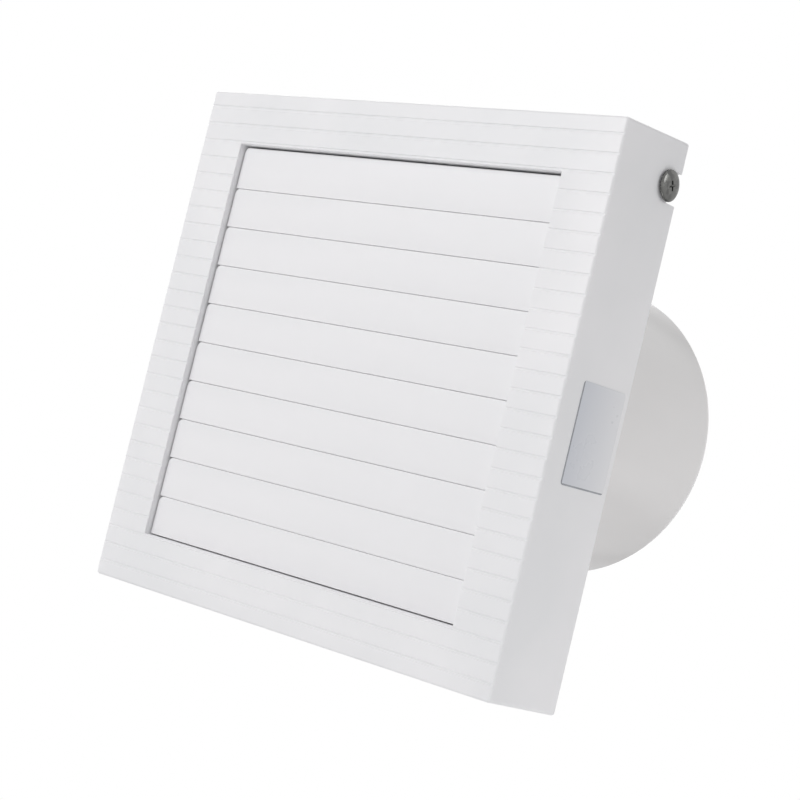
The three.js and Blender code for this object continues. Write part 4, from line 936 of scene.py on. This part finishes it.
# %% Impeller
HUB_RADIUS = 19
HUB_BORE = 17.2
HUB_FRONT = 3
HUB_REAR = 25
HUB_NOSE = 4
HUB_WALL = 1.8
SHAFT_BORE = 2.3
BOSS_RADIUS = 5
BOSS_END = 15
BLADES = 7
BLADE_ROOT = 18.1
TIP_RADIUS = DUCT_BORE - 1.4
BLADE_MIDDLE = 14
ROOT_CHORD = 21
TIP_CHORD = 30
ROOT_ANGLE = 52
TIP_ANGLE = 30
CAMBER = 0.07
BLADE_HALF_THICK = 0.7


def blade_section(share, steps=14):
    """One section of the blade, at a share of the way from the hub to the tip."""
    radius = BLADE_ROOT + (TIP_RADIUS - BLADE_ROOT) * share
    chord = ROOT_CHORD + (TIP_CHORD - ROOT_CHORD) * share
    angle = math.radians(ROOT_ANGLE + (TIP_ANGLE - ROOT_ANGLE) * share)
    points = []
    for face, order in ((1, range(steps + 1)), (-1, range(steps, -1, -1))):
        for k in order:
            u = k / steps - 0.5
            thick = BLADE_HALF_THICK * (1 - 2.4 * u * u)
            rise = chord * CAMBER * (1 - 4 * u * u) + face * thick
            turn = (u * chord * math.cos(angle) - rise * math.sin(angle)) / radius
            y = BLADE_MIDDLE + (u * chord * math.sin(angle) + rise * math.cos(angle))
            points.append(Vector((radius * math.sin(turn), y, radius * math.cos(turn))))
    return points


def hub_profile():
    nose = arc(HUB_RADIUS - HUB_NOSE, HUB_FRONT + HUB_NOSE, HUB_NOSE, -90, 0, 10)
    floor = HUB_FRONT + HUB_WALL
    cup = [(HUB_RADIUS, HUB_REAR), (HUB_BORE, HUB_REAR)]
    cup += [(HUB_BORE, floor + HUB_NOSE), (HUB_RADIUS - HUB_NOSE, floor)]
    boss = [(BOSS_RADIUS, floor), (BOSS_RADIUS, BOSS_END), (SHAFT_BORE, BOSS_END)]
    return [(SHAFT_BORE, HUB_FRONT), *nose, *cup, *boss]


def impeller():
    hub = working(turned(hub_profile(), ROUND_STEPS))
    bore = rod("y", HUB_BORE, HUB_FRONT + HUB_NOSE, HUB_REAR + TIP_CHORD, steps=ROUND_STEPS)
    blades = []
    for i in range(BLADES):
        blade = skin([blade_section(share / 10) for share in range(11)])
        turn = Matrix.Rotation(2 * math.pi * i / BLADES, 4, "Y")
        bmesh.ops.transform(blade, matrix=turn, verts=blade.verts)
        blades.append(blade)
    vanes = combine(working(gather(blades)), [bore], "DIFFERENCE")
    copy = bmesh.new()
    copy.from_mesh(vanes.data)
    bpy.data.objects.remove(vanes)
    return combine(hub, [copy], "UNION")


finished(impeller(), "bladed_impeller", impeller_abs, "fan_rotor", ["impeller"], crease=35)

# %% [markdown]
# ## The motor's shells
#
# Two deep-drawn steel cups meet at the motor's waist. They are seen from behind, through the struts,
# so they are turned again with real bend radii instead of facets.

# %% Motor shells
MOTOR_FRONT = 30
MOTOR_REAR = 57.7
MOTOR_SPLIT = 45
SHELL = 1.6
BEND = 3
SEAT_BORE = 5.3
SEAT_RADIUS = 6.8
SEAT_DEPTH = 4.3
NEAR_AXIS = 0.01


def bearing_seat(floor, end):
    """The ring inside a cup that holds its bearing."""
    return [(SEAT_RADIUS, floor), (SEAT_RADIUS, end), (SEAT_BORE, end), (SEAT_BORE, floor)]


def front_shell():
    outer = arc(MOTOR_RADIUS - BEND, MOTOR_FRONT + BEND, BEND, -90, 0, 8)
    inner = arc(MOTOR_RADIUS - BEND, MOTOR_FRONT + BEND, BEND - SHELL, 0, -90, 6)
    floor = MOTOR_FRONT + SHELL
    seat = [*bearing_seat(floor, floor + SEAT_DEPTH), (SHAFT_BORE, floor)]
    wall = [(MOTOR_RADIUS, MOTOR_SPLIT), (MOTOR_RADIUS - SHELL, MOTOR_SPLIT)]
    return turned([(SHAFT_BORE, MOTOR_FRONT), *outer, *wall, *inner, *seat], ROUND_STEPS)


def rear_shell():
    outer = arc(MOTOR_RADIUS - BEND, MOTOR_REAR - BEND, BEND, 90, 0, 8)
    inner = arc(MOTOR_RADIUS - BEND, MOTOR_REAR - BEND, BEND - SHELL, 0, 90, 6)
    floor = MOTOR_REAR - SHELL
    wall = [(MOTOR_RADIUS, MOTOR_SPLIT + GAP), (MOTOR_RADIUS - SHELL, MOTOR_SPLIT + GAP)]
    seat = bearing_seat(floor, floor - SEAT_DEPTH)
    profile = [(NEAR_AXIS, MOTOR_REAR), *outer, *wall, *inner, *seat, (NEAR_AXIS, floor)]
    cup = working(turned(profile, ROUND_STEPS))
    holes = []
    for x in (-MOTOR_SCREW_X, MOTOR_SCREW_X):
        holes.append(rod("y", MOTOR_SCREW_BORE, floor - PAST, MOTOR_REAR + PAST, (x, 0)))
    return combine(cup, holes, "DIFFERENCE")


front_cup = working(front_shell())
finished(front_cup, "motor_cup_front", zinc_steel, "housing", ["motor_front_shell"])
finished(rear_shell(), "motor_cup_rear", zinc_steel, "housing", ["motor_rear_shell"])

# %% [markdown]
# ## Pieces that keep their CAD shape
#
# The small inner pieces are flat-sided or hidden, so their CAD shape is right as it is. They only
# need the materials that they are really made of.

# %% Materials for the CAD pieces
KEPT = {
    "acetal": acetal, "terminal_nylon": nylon, "grommet_rubber": rubber, "black_zinc": dark_zinc,
    "zinc_steel": zinc_steel, "lamination_steel": lamination, "winding_copper": copper,
    "bearing_bronze": bronze, "brass": brass, "foam": foam, "cover_abs": cover_abs,
    "louvre_abs": louvre_abs, "duct_abs": duct_abs, "impeller_abs": impeller_abs,
}
for entry in frame["record"]["subparts"]:
    obj = cad_nodes[entry["node"]]
    for material_slot in obj.material_slots:
        material_slot.material = KEPT[entry["material_slot"]]
print("dressed CAD pieces:", sum(not o.hide_render for o in cad_nodes.values()))

# %% [markdown]
# ## Floor and light
#
# Product photographs of white plastic are lit from all round, so that the white never clips and
# only a gentle step separates one face from the next. Here a pale world gives the even part. A wide
# soft lamp in front lifts the face, and a weaker one on the right draws the side wall and the duct.
# A small one low on that side lifts their undersides, and one behind on the left serves the back.
# The floor lies well below, because this fan hangs on a wall, and it fades to white round it.

# %% Stage
FLOOR_Z = -0.32
FLOOR_RADIUS = 1.1
FADE_START = 0.22
FADE_END = 0.55
WORLD_LEVEL = 0.465


def floor_material():
    material, tree, place = blank_material("pale_floor")
    spread = add(tree, "VectorMath", {0: place}, operation="LENGTH").outputs["Value"]
    edge = add(tree, "MapRange", {
        "Value": spread, "From Min": FADE_START, "From Max": FADE_END,
    }).outputs["Result"]
    diffuse = add(tree, "BsdfDiffuse", {"Color": linear("#F4F4F4")})
    white = add(tree, "Emission", {"Color": (1, 1, 1, 1), "Strength": 1.0})
    seen = add(tree, "LightPath")
    share = add(tree, "Math", {0: edge, 1: seen.outputs["Is Camera Ray"]}, operation="MULTIPLY")
    blend = add(tree, "MixShader", {
        0: share.outputs["Value"], 1: diffuse.outputs["BSDF"], 2: white.outputs["Emission"],
    })
    add(tree, "OutputMaterial", {"Surface": blend.outputs["Shader"]})
    return material


def add_floor():
    mesh = bmesh.new()
    bmesh.ops.create_circle(mesh, cap_ends=True, segments=96, radius=FLOOR_RADIUS)
    data = bpy.data.meshes.new("floor")
    mesh.to_mesh(data)
    mesh.free()
    floor = bpy.data.objects.new("floor", data)
    floor.location.z = FLOOR_Z
    bpy.context.scene.collection.objects.link(floor)
    data.materials.append(floor_material())


def add_lamp(name, place, aim, size, watts):
    """A round area lamp at a place, turned to face a point, with its size in metres."""
    data = bpy.data.lights.new(name, "AREA")
    data.shape = "DISK"
    data.size = size
    data.energy = watts
    lamp = bpy.data.objects.new(name, data)
    lamp.location = place
    lamp.rotation_euler = (Vector(aim) - Vector(place)).to_track_quat("-Z", "Y").to_euler()
    bpy.context.scene.collection.objects.link(lamp)


def add_world(level):
    world = bpy.data.worlds.new("studio")
    world.use_nodes = True
    bpy.context.scene.world = world
    tree = world.node_tree
    tree.nodes.clear()
    path = add(tree, "LightPath")
    lit = add(tree, "Background", {"Color": (1, 1, 1, 1), "Strength": level})
    seen = add(tree, "Background", {"Color": (1, 1, 1, 1), "Strength": 1.0})
    rays = path.outputs["Is Camera Ray"]
    for kind in ("Is Glossy Ray", "Is Transmission Ray"):
        rays = add(tree, "Math", {0: rays, 1: path.outputs[kind]}, operation="MAXIMUM").outputs["Value"]
    mix = add(tree, "MixShader", {0: rays, 1: lit.outputs["Background"], 2: seen.outputs["Background"]})
    add(tree, "OutputWorld", {"Surface": mix.outputs["Shader"]})


add_floor()
add_world(WORLD_LEVEL)
add_lamp("front_softbox", (-0.5, -1.5, 0.6), (0, 0, 0), 1.2, 11.7)
add_lamp("rear_softbox", (1.4, 0.5, 0.6), (0, 0.05, 0), 0.5, 2.4)
add_lamp("low_fill", (0.3, -0.03, -0.2), (0.08, 0, -0.08), 0.15, 0.125)
add_lamp("back_softbox", (-1.4, 0.9, 0.5), (0, 0, 0), 1.0, 6)

# %% [markdown]
# ## The camera
#
# The photograph's viewpoint was worked out from the cover's four front corners, taking the cover as
# square. The camera looks at the front from the right, a little from below, and is tilted sideways
# by about 14 degrees.

# %% Camera
FRAME_PIXELS = 800
FOCAL_PIXELS = 1835.75
SENSOR_MM = 36
camera_data = bpy.data.cameras.new("camera")
camera_data.sensor_width = SENSOR_MM
camera_data.lens = FOCAL_PIXELS / FRAME_PIXELS * SENSOR_MM
camera = bpy.data.objects.new("camera", camera_data)
bpy.context.scene.collection.objects.link(camera)
look = Vector((-0.651, 0.758, 0.044)).normalized()
tilted_up = Vector((-0.1512, -0.1859, 0.9709))
right = look.cross(tilted_up).normalized()
turn = Matrix((right, right.cross(look), -look)).transposed().to_4x4()
viewpoint = Vector((362.4, FRONT_Y - 391.4, COVER_Z - 29.1)) * MM
camera.matrix_world = Matrix.Translation(viewpoint) @ turn
bpy.context.scene.camera = camera
bpy.context.scene.view_settings.view_transform = "Standard"
print("lens:", round(camera_data.lens, 1), "mm")
